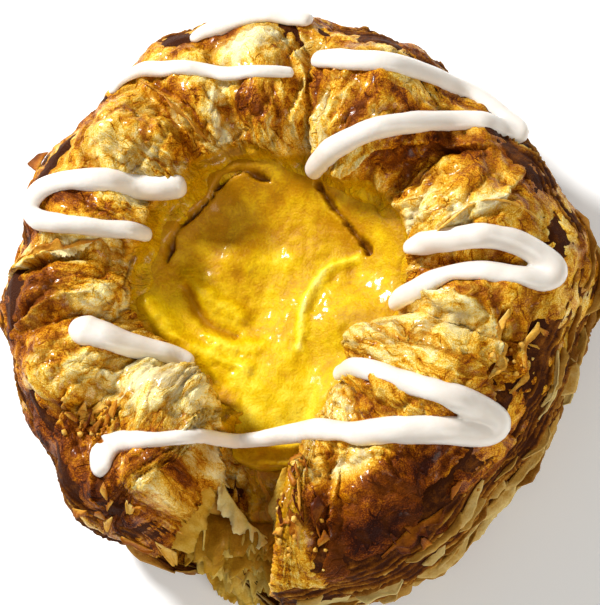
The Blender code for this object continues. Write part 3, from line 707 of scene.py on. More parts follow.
def crust_finish():
    finish = Finish(
        "egg_washed_crust",
        subsurface_weight=0.06,
        subsurface_radius=(1.0, 0.45, 0.1),
        subsurface_scale=0.8 * MM,
        coat_roughness=0.15,
        specular_ior_level=0.08,
    )
    toast, soak, ringwise = (finish.attribute(name) for name in ("toast", "soak", "ringwise"))
    parts = {"X": finish.attribute("lie_x"), "Y": finish.attribute("lie_y"), "Z": finish.attribute("lie_out")}
    lie = finish.node("CombineXYZ", {}, parts)
    bend = finish.node("TexNoise", {}, {"Vector": lie, "Scale": 0.22, "Detail": 3.0}, 1)
    lie = finish.vectors("MULTIPLY_ADD", bend, (7, 7, 7), lie)
    round_lines = finish.lines(finish.vectors("MULTIPLY", lie, (0.16, 0.16, 1.0)), 1.5)
    out_lines = finish.lines(finish.vectors("MULTIPLY", lie, (1.0, 1.0, 0.16)), 1.5)
    wrinkles = round_lines * ringwise + out_lines * (1 - ringwise)
    coarse, fine = finish.speckle(2.6, 4), finish.speckle(0.22, 3)
    film = finish.speckle(0.9, 5, "RIDGED_MULTIFRACTAL")
    netted = finish.vectors("MULTIPLY", lie, (0.7, 0.7, 1.0))
    net = finish.node("TexVoronoi", {"feature": "DISTANCE_TO_EDGE"}, {"Vector": netted, "Scale": 0.55}, 0)
    net = (1 - net * 11).within(0.0, 1.0) * (coarse * 3.0 - 1.1).within(0.0, 1.0)
    # Browner in the wrinkles' hollows and along the net of thin lines: the browner hollows are partly painted shade,
    # and the fine speckle is partly painted glints.
    browned_and_shaded = toast + (coarse - 0.5) * 0.36 + (fine - 0.5) * 0.8 + (0.5 - wrinkles) * 0.5 + net * 0.28
    baked = finish.ramp(browned_and_shaded - (film - 0.5) * 0.08, BAKED)
    # The soaked wall is paler lower down and darker near its top: partly painted shade from the rim.
    lower = (finish.attribute("lie_out") * -0.1 - 1.1).within(0.0, 1.0)
    soaked = finish.ramp(coarse * 0.45 + wrinkles * 0.35 + fine * 0.2 + lower * 0.35 - 0.12, SOAKED)
    tone = finish.blend(soak, baked, soaked)
    # Creases and the gaps beside the lips blend to dark brown: partly browning, partly painted shade.
    dark = (finish.attribute("deep") * 0.35 + finish.attribute("crease") * 0.55).within(0.0, 0.8)
    tone = finish.blend(dark, tone, colour(116, 60, 4))
    # The cracks blend to a darker brown: painted shade in them.
    tone = finish.blend(finish.attribute("crack") * 0.85, tone, colour(92, 48, 2))
    relief = fine * 0.5 + film * 0.5 + coarse * 0.3 + wrinkles * 1.1 - net * 0.6
    return finish.use(
        base_color=tone,
        roughness=(0.5 - soak * 0.16 + (fine - 0.5) * 0.6 + (toast - 0.5) * 0.2).within(0.2, 0.85),
        coat_weight=(0.5 + soak * 0.1 - (coarse - 0.5) * 2.4 - toast * 0.8).within(0.0, 0.9),
        normal=finish.bump(relief, 0.3),
    )


crust = make_crust()

# ---- Layered side -------------------------------------------------------------------------------
# Below the skin the cut edge of the dough square shows: dozens of thin layers, pale at their lips and
# brown between, which opened like a book in the oven. The same body runs on under the skin to the base.
SIDE_AROUND = 900
LAYER_EVERY = 1.15  # millimetres between the lips of two layers
SIDE_TOP = 9.5


def side_surface(angle, along):
    base = dough_point(angle, along)
    slow, quick = lumps(base * (1, 1, 0.4), 11.0, 3), lumps(base * (1, 1, 0.6) + 30, 3.0, 3)
    phase = (along + 1.6 * slow + 0.35 * quick) / LAYER_EVERY
    layer, part = np.floor(phase), phase - np.floor(phase)
    strength = lumps(base * (0.5, 0.5, 0) + layer[:, None] * (3.1, 1.7, 7.9), 4.0, 2)
    leaf = np.exp(-(((part - 0.35) / 0.16) ** 2)) * np.clip(0.75 + 0.9 * strength, 0, 1.6)
    shelf = 0.7 * np.sin(phase * math.tau / 5.3 + 2.2 * slow)
    edge = smoothstep(SIDE_TOP, SIDE_TOP + 5, along) * (1 - smoothstep(TABLE_EDGE - 1.2, TABLE_EDGE - 0.2, along))
    push = edge * (0.6 * leaf + 0.45 * shelf + 0.45 * slow + 0.25 * quick - 0.5)
    return base + dough_normal(angle, along) * push[:, None], leaf * edge, slow


def make_side():
    side = np.linspace(SIDE_TOP, TABLE_EDGE, 84)
    base = np.array([TABLE_EDGE + 12, ALONG[-1]])
    inside = np.array([ALONG[0], FLOOR_EDGE - 2, CRUST_INNER, -20, -12, -5, 0, 5])
    along = np.concatenate([inside, side, base])
    bm, angles, rows = rolled_sheet(len(along), SIDE_AROUND, ring=False)
    place = along[rows]
    points, leaf, slow = side_surface(angles, place)
    hidden = rows < len(inside)
    sunk = dough_point(angles, place) - dough_normal(angles, place) * (SKIN_THICKNESS + 0.8)
    points[hidden] = sunk[hidden]
    points[rows == 0] = (-CENTRE_SHIFT[0], -CENTRE_SHIFT[1], BOWL_FLOOR - 2)
    points[rows == len(along) - 1] = (-CENTRE_SHIFT[0], -CENTRE_SHIFT[1], 0)
    points[:, 2] = np.maximum(points[:, 2], 0)
    move_to(bm, points)
    fields = {"leaf": leaf, "slow": slow, "low": smoothstep(SIDE_TOP, TABLE_EDGE, place)}
    return add_piece("layered_side", bm, side_finish(), fields, ["dough"])


LAYERED = [
    (0.0, colour(62, 30, 5)),
    (0.25, colour(112, 62, 12)),
    (0.5, colour(160, 104, 32)),
    (0.75, colour(204, 160, 76)),
    (1.0, colour(236, 212, 144)),
]


def side_finish():
    finish = Finish(
        "laminated_side",
        subsurface_weight=0.1,
        subsurface_radius=(1.0, 0.6, 0.25),
        subsurface_scale=0.8 * MM,
        specular_ior_level=0.08,
    )
    leaf, slow = finish.attribute("leaf"), finish.attribute("slow")
    coarse, fine = finish.speckle(2.2, 4), finish.speckle(0.3, 4)
    tone = finish.ramp(leaf * 0.6 + slow * 0.12 + (coarse - 0.5) * 0.9 + (fine - 0.5) * 0.4 - 0.03, LAYERED)
    return finish.use(
        base_color=tone,
        roughness=(0.62 + (fine - 0.5) * 0.4).within(0.3, 0.9),
        normal=finish.bump(fine + coarse * 0.5, 0.25),
    )


layered_side = make_side()

# ---- Loose leaves -------------------------------------------------------------------------------
# Thin leaves of dough that came away in the oven or when the pastry was torn: ragged sheets stacked in
# the notch at the front, flakes along the side, and dark broken flakes beside the notch.
LEAF_THICKNESS = 0.16


def ring_line(places, count):
    """Points in millimetres on a smooth line through (angle, radius, height) places."""
    line, where = smooth_line(places, 1.0)
    wanted = np.linspace(0, len(places) - 1, count)
    angle, radius, height = (np.interp(wanted, where, line[:, k]) for k in range(3))
    round_angle = np.radians(angle)
    x = radius * np.cos(round_angle) - CENTRE_SHIFT[0]
    y = radius * np.sin(round_angle) - CENTRE_SHIFT[1]
    return np.stack([x, y, height], axis=-1)


def add_sheet(bm, root, edge, ragged, wave, tone, seed):
    """One torn leaf from its root line to its ragged edge line, each a row of points."""
    count = len(root)
    deep = 6
    layers = bm.verts.layers.float
    tip, shade = layers.get("tip") or layers.new("tip"), layers.get("shade") or layers.new("shade")
    made = bmesh.ops.create_grid(bm, x_segments=count - 1, y_segments=deep - 1, size=1.0)["verts"]
    across = np.roll(root, -1, axis=0) - root
    across[-1] = across[-2]
    lift = np.cross(across, edge - root)
    lift = lift / np.maximum(np.linalg.norm(lift, axis=1, keepdims=True), 1e-9)
    for vert in made:
        i = round((vert.co.x + 1) / 2 * (count - 1))
        v = (vert.co.y + 1) / 2
        torn = 1 + ragged * noise.fractal(Vector((i * 0.07, seed * 7.3, 0.5)), 0.7, 2.1, 3)
        torn += 0.14 * ragged * noise.noise(Vector((i * 0.5, seed * 1.9, 4.5)))
        taper = min(1.0, 0.25 + 4.0 * min(i, count - 1 - i) / (count - 1))
        bend = wave * noise.noise(Vector((i * 0.08, v * 1.3, seed * 3.1)))
        bend += 0.14 * noise.noise(Vector((i * 0.5, v * 4, seed * 2.3)))
        point = root[i] + (edge[i] - root[i]) * (v * torn * taper) + lift[i] * bend * (0.3 + v)
        vert.co = Vector(point) * MM
        vert.co.z = max(vert.co.z, 0.1 * MM)
        vert[tip] = v
        vert[shade] = tone


def add_leaf_piece(name, bm, material):
    mesh = bpy.data.meshes.new(name)
    bm.to_mesh(mesh)
    bm.free()
    mesh.materials.append(material)
    mesh.shade_smooth()
    piece = bpy.data.objects.new(name, mesh)
    bpy.context.scene.collection.objects.link(piece)
    thick = piece.modifiers.new("thickness", "SOLIDIFY")
    thick.thickness = LEAF_THICKNESS * MM
    thick.offset = 0
    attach(piece, "root")
    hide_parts("dough")
    return piece


def leaf_finish(name, stops):
    finish = Finish(
        name,
        subsurface_weight=0.15,
        subsurface_radius=(1.0, 0.7, 0.3),
        subsurface_scale=0.8 * MM,
        coat_roughness=0.25,
        specular_ior_level=0.1,
    )
    fine, coarse = finish.speckle(0.3, 4), finish.speckle(1.8, 4)
    shade = finish.attribute("shade") + finish.attribute("tip") * 0.25 + (coarse - 0.5) * 0.4 + (fine - 0.5) * 0.25
    return finish.use(
        base_color=finish.ramp(shade, stops),
        roughness=(0.5 + (fine - 0.5) * 0.5).within(0.25, 0.8),
        coat_weight=(coarse - 0.5).within(0.0, 0.4),
        normal=finish.bump(fine + coarse, 0.15),
    )


# Leaves on the notch's walls, as (angle, radius, height): root line, edge line, raggedness, wave, paleness
NOTCH_LEAVES = [
    (
        [(251, 32, 14.4), (256, 35, 13.2), (261, 38, 12), (265, 40, 11)],
        [(249, 34.6, 13.8), (254.5, 37.8, 12.4), (260, 40.6, 10.9), (265, 42.6, 9.4)],
        0.4, 2.2, 0.85,
    ),
    (
        [(274, 30, 18.5), (273.5, 36, 16.4), (273.5, 41, 13.6), (274, 47, 9.6)],
        [(265.5, 31, 15), (266.5, 37, 12.6), (268, 42.5, 9.6), (270, 48, 6)],
        0.14, 1.0, 0.5,
    ),
    (
        [(245.5, 30, 20), (244, 36, 17.8), (242.5, 41, 14.4), (240.5, 46, 10)],
        [(251, 31.5, 15.6), (250, 37, 13.2), (248.5, 42, 10.2), (246, 47, 6.6)],
        0.2, 0.9, 0.42,
    ),
]
# The stack of leaves at the notch's mouth, from the top one down
STACKED_LEAVES = 15
STACK_TOP, STACK_FOOT = 10.6, 0.8
STACK_RADIUS_TOP, STACK_RADIUS_FOOT = 43.0, 50.8
TORN = [
    (0.0, colour(96, 56, 6)),
    (0.25, colour(152, 104, 18)),
    (0.5, colour(198, 152, 46)),
    (0.75, colour(230, 200, 104)),
    (1.0, colour(248, 234, 172)),
]
notch_bm = bmesh.new()
pull = random.Random(12)
for number in range(STACKED_LEAVES):
    share = number / (STACKED_LEAVES - 1)
    level = STACK_TOP + (STACK_FOOT - STACK_TOP) * share
    radius = STACK_RADIUS_TOP + (STACK_RADIUS_FOOT - STACK_RADIUS_TOP) * share
    turns = np.linspace(241 + 6 * share + pull.uniform(-1, 7), 270 + 5 * share + pull.uniform(-7, 3), 4)
    inner = [(turn, radius - 5.5, level + pull.uniform(0.2, 0.9)) for turn in turns]
    outer = [(turn + pull.uniform(-1, 1), radius + pull.uniform(-1.2, 0.7), level - 0.3) for turn in turns]
    pale = pull.uniform(0.2, 0.62)
    add_sheet(notch_bm, ring_line(inner, 90), ring_line(outer, 90), 0.5, 1.3, pale - 0.1, number + 20)
for number, (root_places, edge_places, ragged, wave, pale) in enumerate(NOTCH_LEAVES):
    root_line, edge_line = ring_line(root_places, 90), ring_line(edge_places, 90)
    add_sheet(notch_bm, root_line, edge_line, ragged, wave, pale - 0.1, number + 1)
notch_leaves = add_leaf_piece("notch_leaves", notch_bm, leaf_finish("torn_leaf", TORN))

# Flakes along the side, thickest where the layers opened at the front and right
SIDE_FLAKES = 120
chance = random.Random(5)
side_bm = bmesh.new()
for number in range(SIDE_FLAKES):
    middle = chance.uniform(-120, 8)
    width = chance.uniform(4, 16)
    level_along = chance.uniform(CRUST_OUTER + 2.5, TABLE_EDGE - 2.0)
    count = max(6, round(width * 2.2))
    angles = middle + np.linspace(-0.5, 0.5, count) * width
    tilt = chance.uniform(-1.6, 1.6)
    along = level_along + tilt * np.linspace(-0.5, 0.5, count)
    root_line = dough_point(angles, along) - dough_normal(angles, along) * 0.3
    out = chance.uniform(0.4, 1.3)
    droop = chance.uniform(-0.5, 1.1)
    edge_line = dough_point(angles, np.minimum(along + droop, TABLE_EDGE - 0.4)) + dough_normal(angles, along) * out
    add_sheet(side_bm, root_line, edge_line, 0.55, 0.5, chance.uniform(0.15, 0.75), number + 40)
SIDE_LEAF = [
    (0.0, colour(72, 38, 6)),
    (0.3, colour(128, 80, 22)),
    (0.6, colour(184, 140, 62)),
    (1.0, colour(230, 206, 138)),
]
side_flakes = add_leaf_piece("side_flakes", side_bm, leaf_finish("side_leaf", SIDE_LEAF))

# Broken flakes: the place's middle and reaches, how many, and how brown
BROKEN = [
    (277, 2, 7, 6, 34, 0.5), (217, 1, 5, 4, 16, 0.4), (338, 8, 7, 3, 4, 0.3), (236, 11, 9, 4, 10, 0.34),
    (304, 12, 12, 3, 6, 0.5),
]
broken_bm = bmesh.new()
for middle, place, reach_round, reach_along, count_there, brown in BROKEN:
    for number in range(count_there):
        angle = middle + chance.uniform(-1, 1) * reach_round
        along = place + chance.uniform(-1, 1) * reach_along
        length, lean = chance.uniform(1.0, 3.0), chance.uniform(-1, 1)
        turn = chance.uniform(0, math.pi)
        steps = np.linspace(-0.5, 0.5, 15) * length
        angles = angle + np.degrees(steps * math.cos(turn) / 38)
        alongs = along + steps * math.sin(turn)
        normal = dough_normal(angles, alongs)
        root_line = dough_point(angles, alongs) + normal * 0.3
        tall = chance.uniform(0.0, 0.5)
        wide = math.copysign(0.7 + 1.3 * abs(lean), lean)
        edge_line = dough_point(angles, alongs + wide) + normal * (0.5 + tall)
        add_sheet(broken_bm, root_line, edge_line, 0.7, 0.7, brown + chance.uniform(-0.25, 0.25), number + 400)
BROKEN_TONE = [
    (0.0, colour(244, 214, 130)),
    (0.3, colour(220, 164, 62)),
    (0.6, colour(164, 94, 18)),
    (0.9, colour(86, 38, 4)),
]
broken_flakes = add_leaf_piece("broken_flakes", broken_bm, leaf_finish("toasted_flake", BROKEN_TONE))

# Peels: torn lips of skin that stand over the crust. Path of angles and places along, how far the
# free edge leans round in degrees and outwards, how high it stands, brownness
PEELS = {
    "left_peel": ([(173, 9), (169, 3), (165, -2), (161.5, -6)], -1.6, -0.4, 1.7, 0.25),
    "left_roll": ([(120, 7), (116, 1.5), (113, -3), (110.5, -8)], -1.2, 0.0, 2.2, 0.25),
    "outline_flake": ([(145, 12), (147, 12.6), (149.5, 12)], 0.4, 2.0, 1.8, 0.55),
    "right_flap": ([(8, -5), (10.5, 0), (10, 5), (7, 8)], -1.6, 0.6, 2.2, 0.05),
    "ruffle_high": ([(347, 5.5), (342, 4.6), (337, 6.2), (331, 6)], 0.0, 1.5, 1.1, 0.15),
    "ruffle_low": ([(346, 9.5), (341, 8.8), (336, 10.6), (331, 9.6)], 0.0, 1.4, 1.1, 0.25),
    "gap_right": ([(270.5, 8), (268, 2), (265, -4), (262, -8)], -2.4, 0.0, 1.4, 0.15),
    "gap_left": ([(250, -3), (248.5, 0), (247, 4), (244, 8)], 1.8, 0.0, 1.3, 0.2),
    "dark_flake": ([(292, 12), (299, 10.5), (306, 12)], 0.0, 1.4, 1.5, 0.6),
}
peel_bm = bmesh.new()
for number, (path, lean_round, lean_out, stands, brown) in enumerate(PEELS.values()):
    line, _ = smooth_line(path, 0.25)
    normal = dough_normal(line[:, 0], line[:, 1])
    uneven = np.array([0.75 + 0.6 * noise.noise(Vector((i * 0.09, number * 3.7, 0))) for i in range(len(line))])
    root_line = dough_point(line[:, 0], line[:, 1]) + normal * 0.3
    leaning = dough_point(line[:, 0] + lean_round * uneven, line[:, 1] + lean_out * uneven)
    edge_line = leaning + normal * (stands * uneven)[:, None]
    add_sheet(peel_bm, root_line, edge_line, 0.22, 0.4, brown, number + 700)
peeled_skin = add_leaf_piece("peeled_skin", peel_bm, leaf_finish("peeled_skin", BROKEN_TONE))

# ---- Custard ------------------------------------------------------------------------------------
# The baked custard that fills the bowl: a wet yellow cream with a wrinkled skin, pulled into a fold at
# the right and lumps at the left, cracked away from the wall at the back and run into the notch.
CUSTARD_LEVEL = 16.4
POOL_RADIUS = 26.5  # how far out it runs in the notch
CUSTARD_AROUND = 360
CUSTARD_UNDER, CUSTARD_OVER = 5, 70
CUSTARD_INTO_WALL = 2.2

# Relief of its top: path of (x, y) in the ring's own frame, height and half width
CUSTARD_FOLDS = [
    ([(13.5, 5.6), (9, 4.6), (6.4, 1.6), (4.6, -1.6), (4, -5), (3.6, -9)], 0.7, 1.0),
    ([(-15.5, 4.5), (-13, 1.5), (-10, -0.8), (-6.5, -3)], 1.5, 1.5),
    ([(-8, 8), (-3, 6), (2, 6.5)], 0.6, 2.0),
    ([(-22, 0), (-17.5, -5.5), (-12, -9.5), (-6, -12)], 1.3, 1.5),
    ([(-11.5, -6.5), (-7, -8), (-3.5, -8.5)], 0.8, 1.2),
    ([(-12, -13), (-7, -14.5), (-3, -16.5)], 0.5, 1.4),
    ([(-16.2, 2.6), (-14.6, -1), (-12, -4), (-8, -6)], -1.0, 0.9),
    ([(-20, -8), (-14, -12), (-10, -14.5)], -0.8, 0.9),
    ([(9, 3.4), (7.2, 0.6), (6, -3)], -0.5, 1.0),
    ([(-19.3, 7.5), (-17.6, 12), (-15, 15), (-11, 18.3)], -1.8, 0.45),
    ([(-10.5, 19.3), (-8, 21), (-5, 21.6), (-1, 20.2)], -1.6, 0.4),
    ([(7.5, 18.3), (10, 14.6), (13, 10.6), (15.6, 6.4)], -1.8, 0.45),
    ([(9, 15), (12, 11.4), (14, 8.6)], 0.5, 0.9),
]
# Where it is paler or darker: x, y, reach, amount. The darker patches at the back are painted shadow of the
# bowl's wall; the pale patch at the front, where it runs into the notch, is partly paler custard and partly
# painted light.
CUSTARD_TONES = [(2, -19, 8, 0.26), (-8, 13, 9, -0.18), (9, 12, 5, -0.1)]


def line_distance(x, y, path):
    """How far each place lies from a path."""
    line, _ = smooth_line(path, 0.8)
    nearest = np.full(np.shape(x), 1e9)
    for start, end in zip(line, line[1:]):
        leg = end - start
        part = np.clip(((x - start[0]) * leg[0] + (y - start[1]) * leg[1]) / (leg @ leg), 0, 1)
        nearest = np.minimum(nearest, np.hypot(x - start[0] - leg[0] * part, y - start[1] - leg[1] * part))
    return nearest


def custard_top(x, y):
    """The height of the custard's uneven skin, as the frame has it."""
    swirl = 0.7 * np.sin(0.31 * x + 0.12 * y + 1.0) * np.cos(0.27 * y - 0.1 * x)
    dome = 2.0 * np.exp(-((x - 9.5) ** 2 + (y + 6.5) ** 2) / 40)
    dent = -1.3 * np.exp(-((x + 3) ** 2 + (y - 1) ** 2) / 70)
    from_notch = np.degrees(np.arctan2(y + CENTRE_SHIFT[1], x + CENTRE_SHIFT[0])) + 90
    climb = 3.4 * (0.5 - 0.5 * np.cos(np.radians(from_notch))) ** 0.7
    climb = climb * smoothstep(13, 24, np.hypot(x + CENTRE_SHIFT[0], y + CENTRE_SHIFT[1]))
    return CUSTARD_LEVEL + swirl + dome + dent + climb


def custard_rim(angles):
    """Where along the section the bowl's wall rises past the custard, for each angle."""
    along = np.linspace(FLOOR_EDGE + 2, -6, 120)
    grid_angle, grid_along = np.meshgrid(angles, along, indexing="ij")
    wall = dough_point(grid_angle, grid_along)
    over = wall[..., 2] > custard_top(wall[..., 0], wall[..., 1]) + 0.4
    reach = np.hypot(wall[..., 0] + CENTRE_SHIFT[0], wall[..., 1] + CENTRE_SHIFT[1])
    over = over | (reach > POOL_RADIUS) | (grid_along == along[-1])
    found = along[np.argmax(over, axis=1)]
    near = np.stack([np.roll(found, k) for k in range(-3, 4)])
    return sum(np.roll(near.max(axis=0), k) for k in range(-3, 4)) / 7


def make_custard():
    count = CUSTARD_UNDER + CUSTARD_OVER + 2
    bm, angles, rows = rolled_sheet(count, CUSTARD_AROUND, ring=False)
    step = 360 / CUSTARD_AROUND
    whole = np.arange(-180, 180, step)
    rims = custard_rim(whole)
    rim = rims[np.round((angles + 180) / step).astype(int) % len(whole)]
    wall = dough_point(angles, rim)
    over = np.clip((rows - CUSTARD_UNDER) / (CUSTARD_OVER + 1), 0, 1)
    under = np.clip(rows / CUSTARD_UNDER, 0, 1)
    share = np.where(rows > CUSTARD_UNDER, 1 - over, under)
    into_wall = 1 + CUSTARD_INTO_WALL / np.hypot(wall[:, 0] + CENTRE_SHIFT[0], wall[:, 1] + CENTRE_SHIFT[1])
    x = (wall[:, 0] + CENTRE_SHIFT[0]) * share * into_wall - CENTRE_SHIFT[0]
    y = (wall[:, 1] + CENTRE_SHIFT[1]) * share * into_wall - CENTRE_SHIFT[1]
    top = custard_top(x, y)
    ring_x, ring_y = x + CENTRE_SHIFT[0], y + CENTRE_SHIFT[1]
    spot = np.stack([x, y, np.full(len(x), 4.0)], axis=-1)
    wander = lumps(spot, 3.0, 3)
    crack, browned_and_shaded, crest = np.zeros(len(x)), np.zeros(len(x)), np.zeros(len(x))
    for path, rise, half in CUSTARD_FOLDS:
        away = np.maximum(line_distance(ring_x, ring_y, path) + 0.6 * wander, 0)
        near = np.exp(-((away / half) ** 2))
        top += rise * near
        # The deep cracks at the wall, with a band beside them darkened: partly browned custard, partly painted shade.
        if rise < -1.5:
            crack = np.maximum(crack, near)
            browned_and_shaded = np.maximum(browned_and_shaded, np.exp(-away / 1.8))
        crest = np.maximum(crest, near * (rise > 0))
    skin_fold = np.exp(-((line_distance(ring_x, ring_y, CUSTARD_FOLDS[0][0]) / 0.8) ** 2))
    top += 0.5 * lumps(spot + 9, 8.0, 3) + 0.12 * lumps(spot + 31, 2.6, 3)
    sunk = -0.6 * smoothstep(0.75, 0.92, share)
    height = np.where(rows > CUSTARD_UNDER, top - sunk, BOWL_FLOOR + (top - BOWL_FLOOR - 2.5) * under**3)
    move_to(bm, np.stack([x, y, height], axis=-1))
    # Paler on the raised folds and the skin fold, partly pale skin and partly painted highlight; darker beside the
    # wall's cracks, and at the wall's edge and in the groove at the left as painted shade.
    pale = np.zeros(len(x))
    for middle_x, middle_y, reach, amount in CUSTARD_TONES:
        pale += amount * np.exp(-((ring_x - middle_x) ** 2 + (ring_y - middle_y) ** 2) / reach**2)
    pale += 0.12 * crest + 0.3 * skin_fold - 0.22 * browned_and_shaded - 0.1 * smoothstep(0.75, 1.0, share)
    pale -= 0.3 * np.exp(-((line_distance(ring_x, ring_y, CUSTARD_FOLDS[6][0]) / 0.9) ** 2))
    fields = {"crack": crack, "pale": pale}
    return add_piece("custard_filling", bm, custard_finish(), fields, ["custard"])


YOLK = [
    (0.2, colour(180, 126, 2)),
    (0.36, colour(204, 158, 4)),
    (0.52, colour(224, 186, 12)),
    (0.7, colour(242, 215, 60)),
    (0.95, colour(250, 238, 140)),
]


def custard_finish():
    finish = Finish(
        "baked_custard",
        subsurface_weight=0.25,
        subsurface_radius=(1.0, 0.85, 0.3),
        subsurface_scale=1.6 * MM,
        coat_roughness=0.12,
        specular_ior_level=0.1,
    )
    coarse, fine, grain = finish.speckle(7.0, 4), finish.speckle(0.45, 3), finish.speckle(1.8, 4)
    mottled = coarse * 0.7 + (grain - 0.5) * 0.35 + (fine - 0.5) * 0.2 + 0.04
    tone = finish.ramp(mottled + finish.attribute("pale"), YOLK)
    # The custard's cracks blend to brown: painted shade in them.
    tone = finish.blend(finish.attribute("crack").within(0.0, 0.85), tone, colour(110, 62, 2))
    return finish.use(
        base_color=tone,
        roughness=(0.5 + (fine - 0.5) * 0.4).within(0.2, 0.8),
        coat_weight=(0.08 + (coarse - 0.5) * 2.4).within(0.0, 0.7),
        normal=finish.bump(fine * 0.5 + grain * 1.0 + coarse * 0.3, 0.22),
    )


custard_filling = make_custard()

# ---- Icing --------------------------------------------------------------------------------------
# Sugar icing poured from a spoon in zigzags while the pastry was cool: thick white strokes with round
# backs that lie over the folds, bridge the creases, and run together where a stroke turns back.
ICING_STEP = 0.5
ICING_SIDES = 20
ICING_HEIGHT = 0.78  # of a stroke's half width
REMESH_CELL = 0.3
SMOOTHED_AWAY = 0.2  # what smoothing takes off a stroke's side
STROKES = {
    "icing_back": [
        (
            [(-13.4, 44.2), (-11.2, 45.8), (-7.9, 46.8), (-3.5, 47.2), (1, 47.2), (5.1, 46.6), (8.4, 45.2)],
            [1.0, 1.4, 1.6, 1.7, 1.8, 1.7, 1.4],
        ),
    ],
    "icing_upper_left": [
        (
            [(-27.2, 35.6), (-25.6, 38), (-21.3, 40), (-15.1, 38.4), (-8.9, 37.2), (-0.8, 34.8), (6.5, 34.7)],
            [0.7, 0.9, 1.3, 1.3, 1.2, 1.1, 0.9],
        ),
    ],
    "icing_upper_right": [
        (
            [(9, 37.7), (15.7, 34.9), (21.6, 33.8), (26, 33.5), (30, 32.8), (33.8, 31.6), (37, 29.4), (39.8, 26.6),
             (42.1, 24.4), (42, 23.2), (39.4, 24.1), (33.5, 24.5), (27.6, 23.5), (22.4, 22.4), (17.3, 21.2),
             (11.8, 19.8), (6.8, 19.4)],
            [1.7, 1.9, 1.9, 1.9, 1.8, 1.7, 1.6, 1.5, 1.5, 1.6, 1.7, 1.7, 1.7, 1.7, 1.7, 1.9, 1.5],
        ),
    ],
    "icing_left": [
        (
            [(-13.3, 18.4), (-17.1, 18.3), (-23.1, 19), (-29, 18.9), (-34.4, 18.9), (-38.2, 17.9), (-39.8, 15.7),
             (-38.8, 13.5), (-36.4, 12.4), (-32.2, 11.3), (-27.1, 10.6), (-22.6, 10.1), (-19.8, 10.1)],
            [1.9, 2.2, 2.2, 2.2, 2.1, 2.1, 2.0, 1.8, 1.7, 1.5, 1.45, 1.4, 1.2],
        ),
    ],
    "icing_right": [
        (
            [(23.5, 3.1), (27.7, 3.4), (33.3, 2.7), (39, 2.3), (43.4, 1.2), (47, -1.2), (48.3, -3.2),
             (46.6, -4.6), (43.2, -4.5), (36.8, -3.3), (32, -3.3), (27.2, -4.6), (23, -5), (20.7, -5.6)],
            [1.5, 1.8, 1.9, 1.9, 1.9, 2.0, 1.9, 2.0, 2.1, 2.0, 1.9, 1.7, 1.5, 0.9],
        ),
    ],
    "icing_lower_left": [
        (
            [(-32.8, -5.8), (-30, -7), (-27, -8), (-23.4, -9), (-18.9, -9.7), (-15.8, -10.5), (-13.8, -11.7)],
            [1.5, 2.8, 2.7, 2.0, 1.7, 1.5, 1.2],
        ),
    ],
    "icing_front": [
        (
            [(10.6, -15.2), (15.3, -16.5), (21.2, -19.4), (27, -22.1), (32.4, -24.2), (36.4, -25.4), (38.6, -27),
             (37, -28.4), (33.1, -28.7), (27.2, -28.5), (20.4, -28.1), (12.8, -26.7), (4.7, -24.8), (-2.2, -25.2),
             (-8, -25.6), (-12.9, -26.6), (-17.7, -26.8), (-22.8, -26.2), (-26, -27), (-25.8, -29.8), (-25.1, -32.2)],
            [1.2, 1.5, 1.7, 1.9, 2.2, 2.1, 2.0, 2.0, 2.2, 2.1, 2.0, 1.9, 1.6, 1.2, 1.1, 1.1, 1.2, 1.8, 2.8, 2.7, 1.7],
        ),
    ],
}
SHOULDER_RADIUS, SHOULDER_HEIGHT = 48.0, 21.5  # past this radius a stroke lies over the shoulder
LOWEST_LAID = 19.0  # a stroke bridges the notch and stops over the bowl's wall at this height


def tree_of(piece):
    bm = bmesh.new()
    bm.from_mesh(piece.data)
    tree = BVHTree.FromBMesh(bm)
    bm.free()
    return tree


def evened(values, times):
    """Each row of values blended with its neighbours, that many times."""
    for _ in range(times):
        padded = np.vstack([values[:1], values, values[-1:]])
        values = 0.25 * padded[:-2] + 0.5 * values + 0.25 * padded[2:]
    return values


def ground_below(tree, x, y):
    """The crust's point and normal under (x, y) of the ring's own frame, in millimetres."""
    x, y = x - CENTRE_SHIFT[0], y - CENTRE_SHIFT[1]
    found = tree.ray_cast(Vector((x, y, 60)) * MM, Vector((0, 0, -1)))
    if found[0] is None or math.hypot(x, y) > SHOULDER_RADIUS:
        found = tree.find_nearest(Vector((x, y, SHOULDER_HEIGHT)) * MM)
    point, normal = np.array(found[0]) / MM, np.array(found[1])
    if point[2] < LOWEST_LAID:
        point[2] = LOWEST_LAID
        normal = np.array((0.0, 0.0, 1.0))
    return point, normal


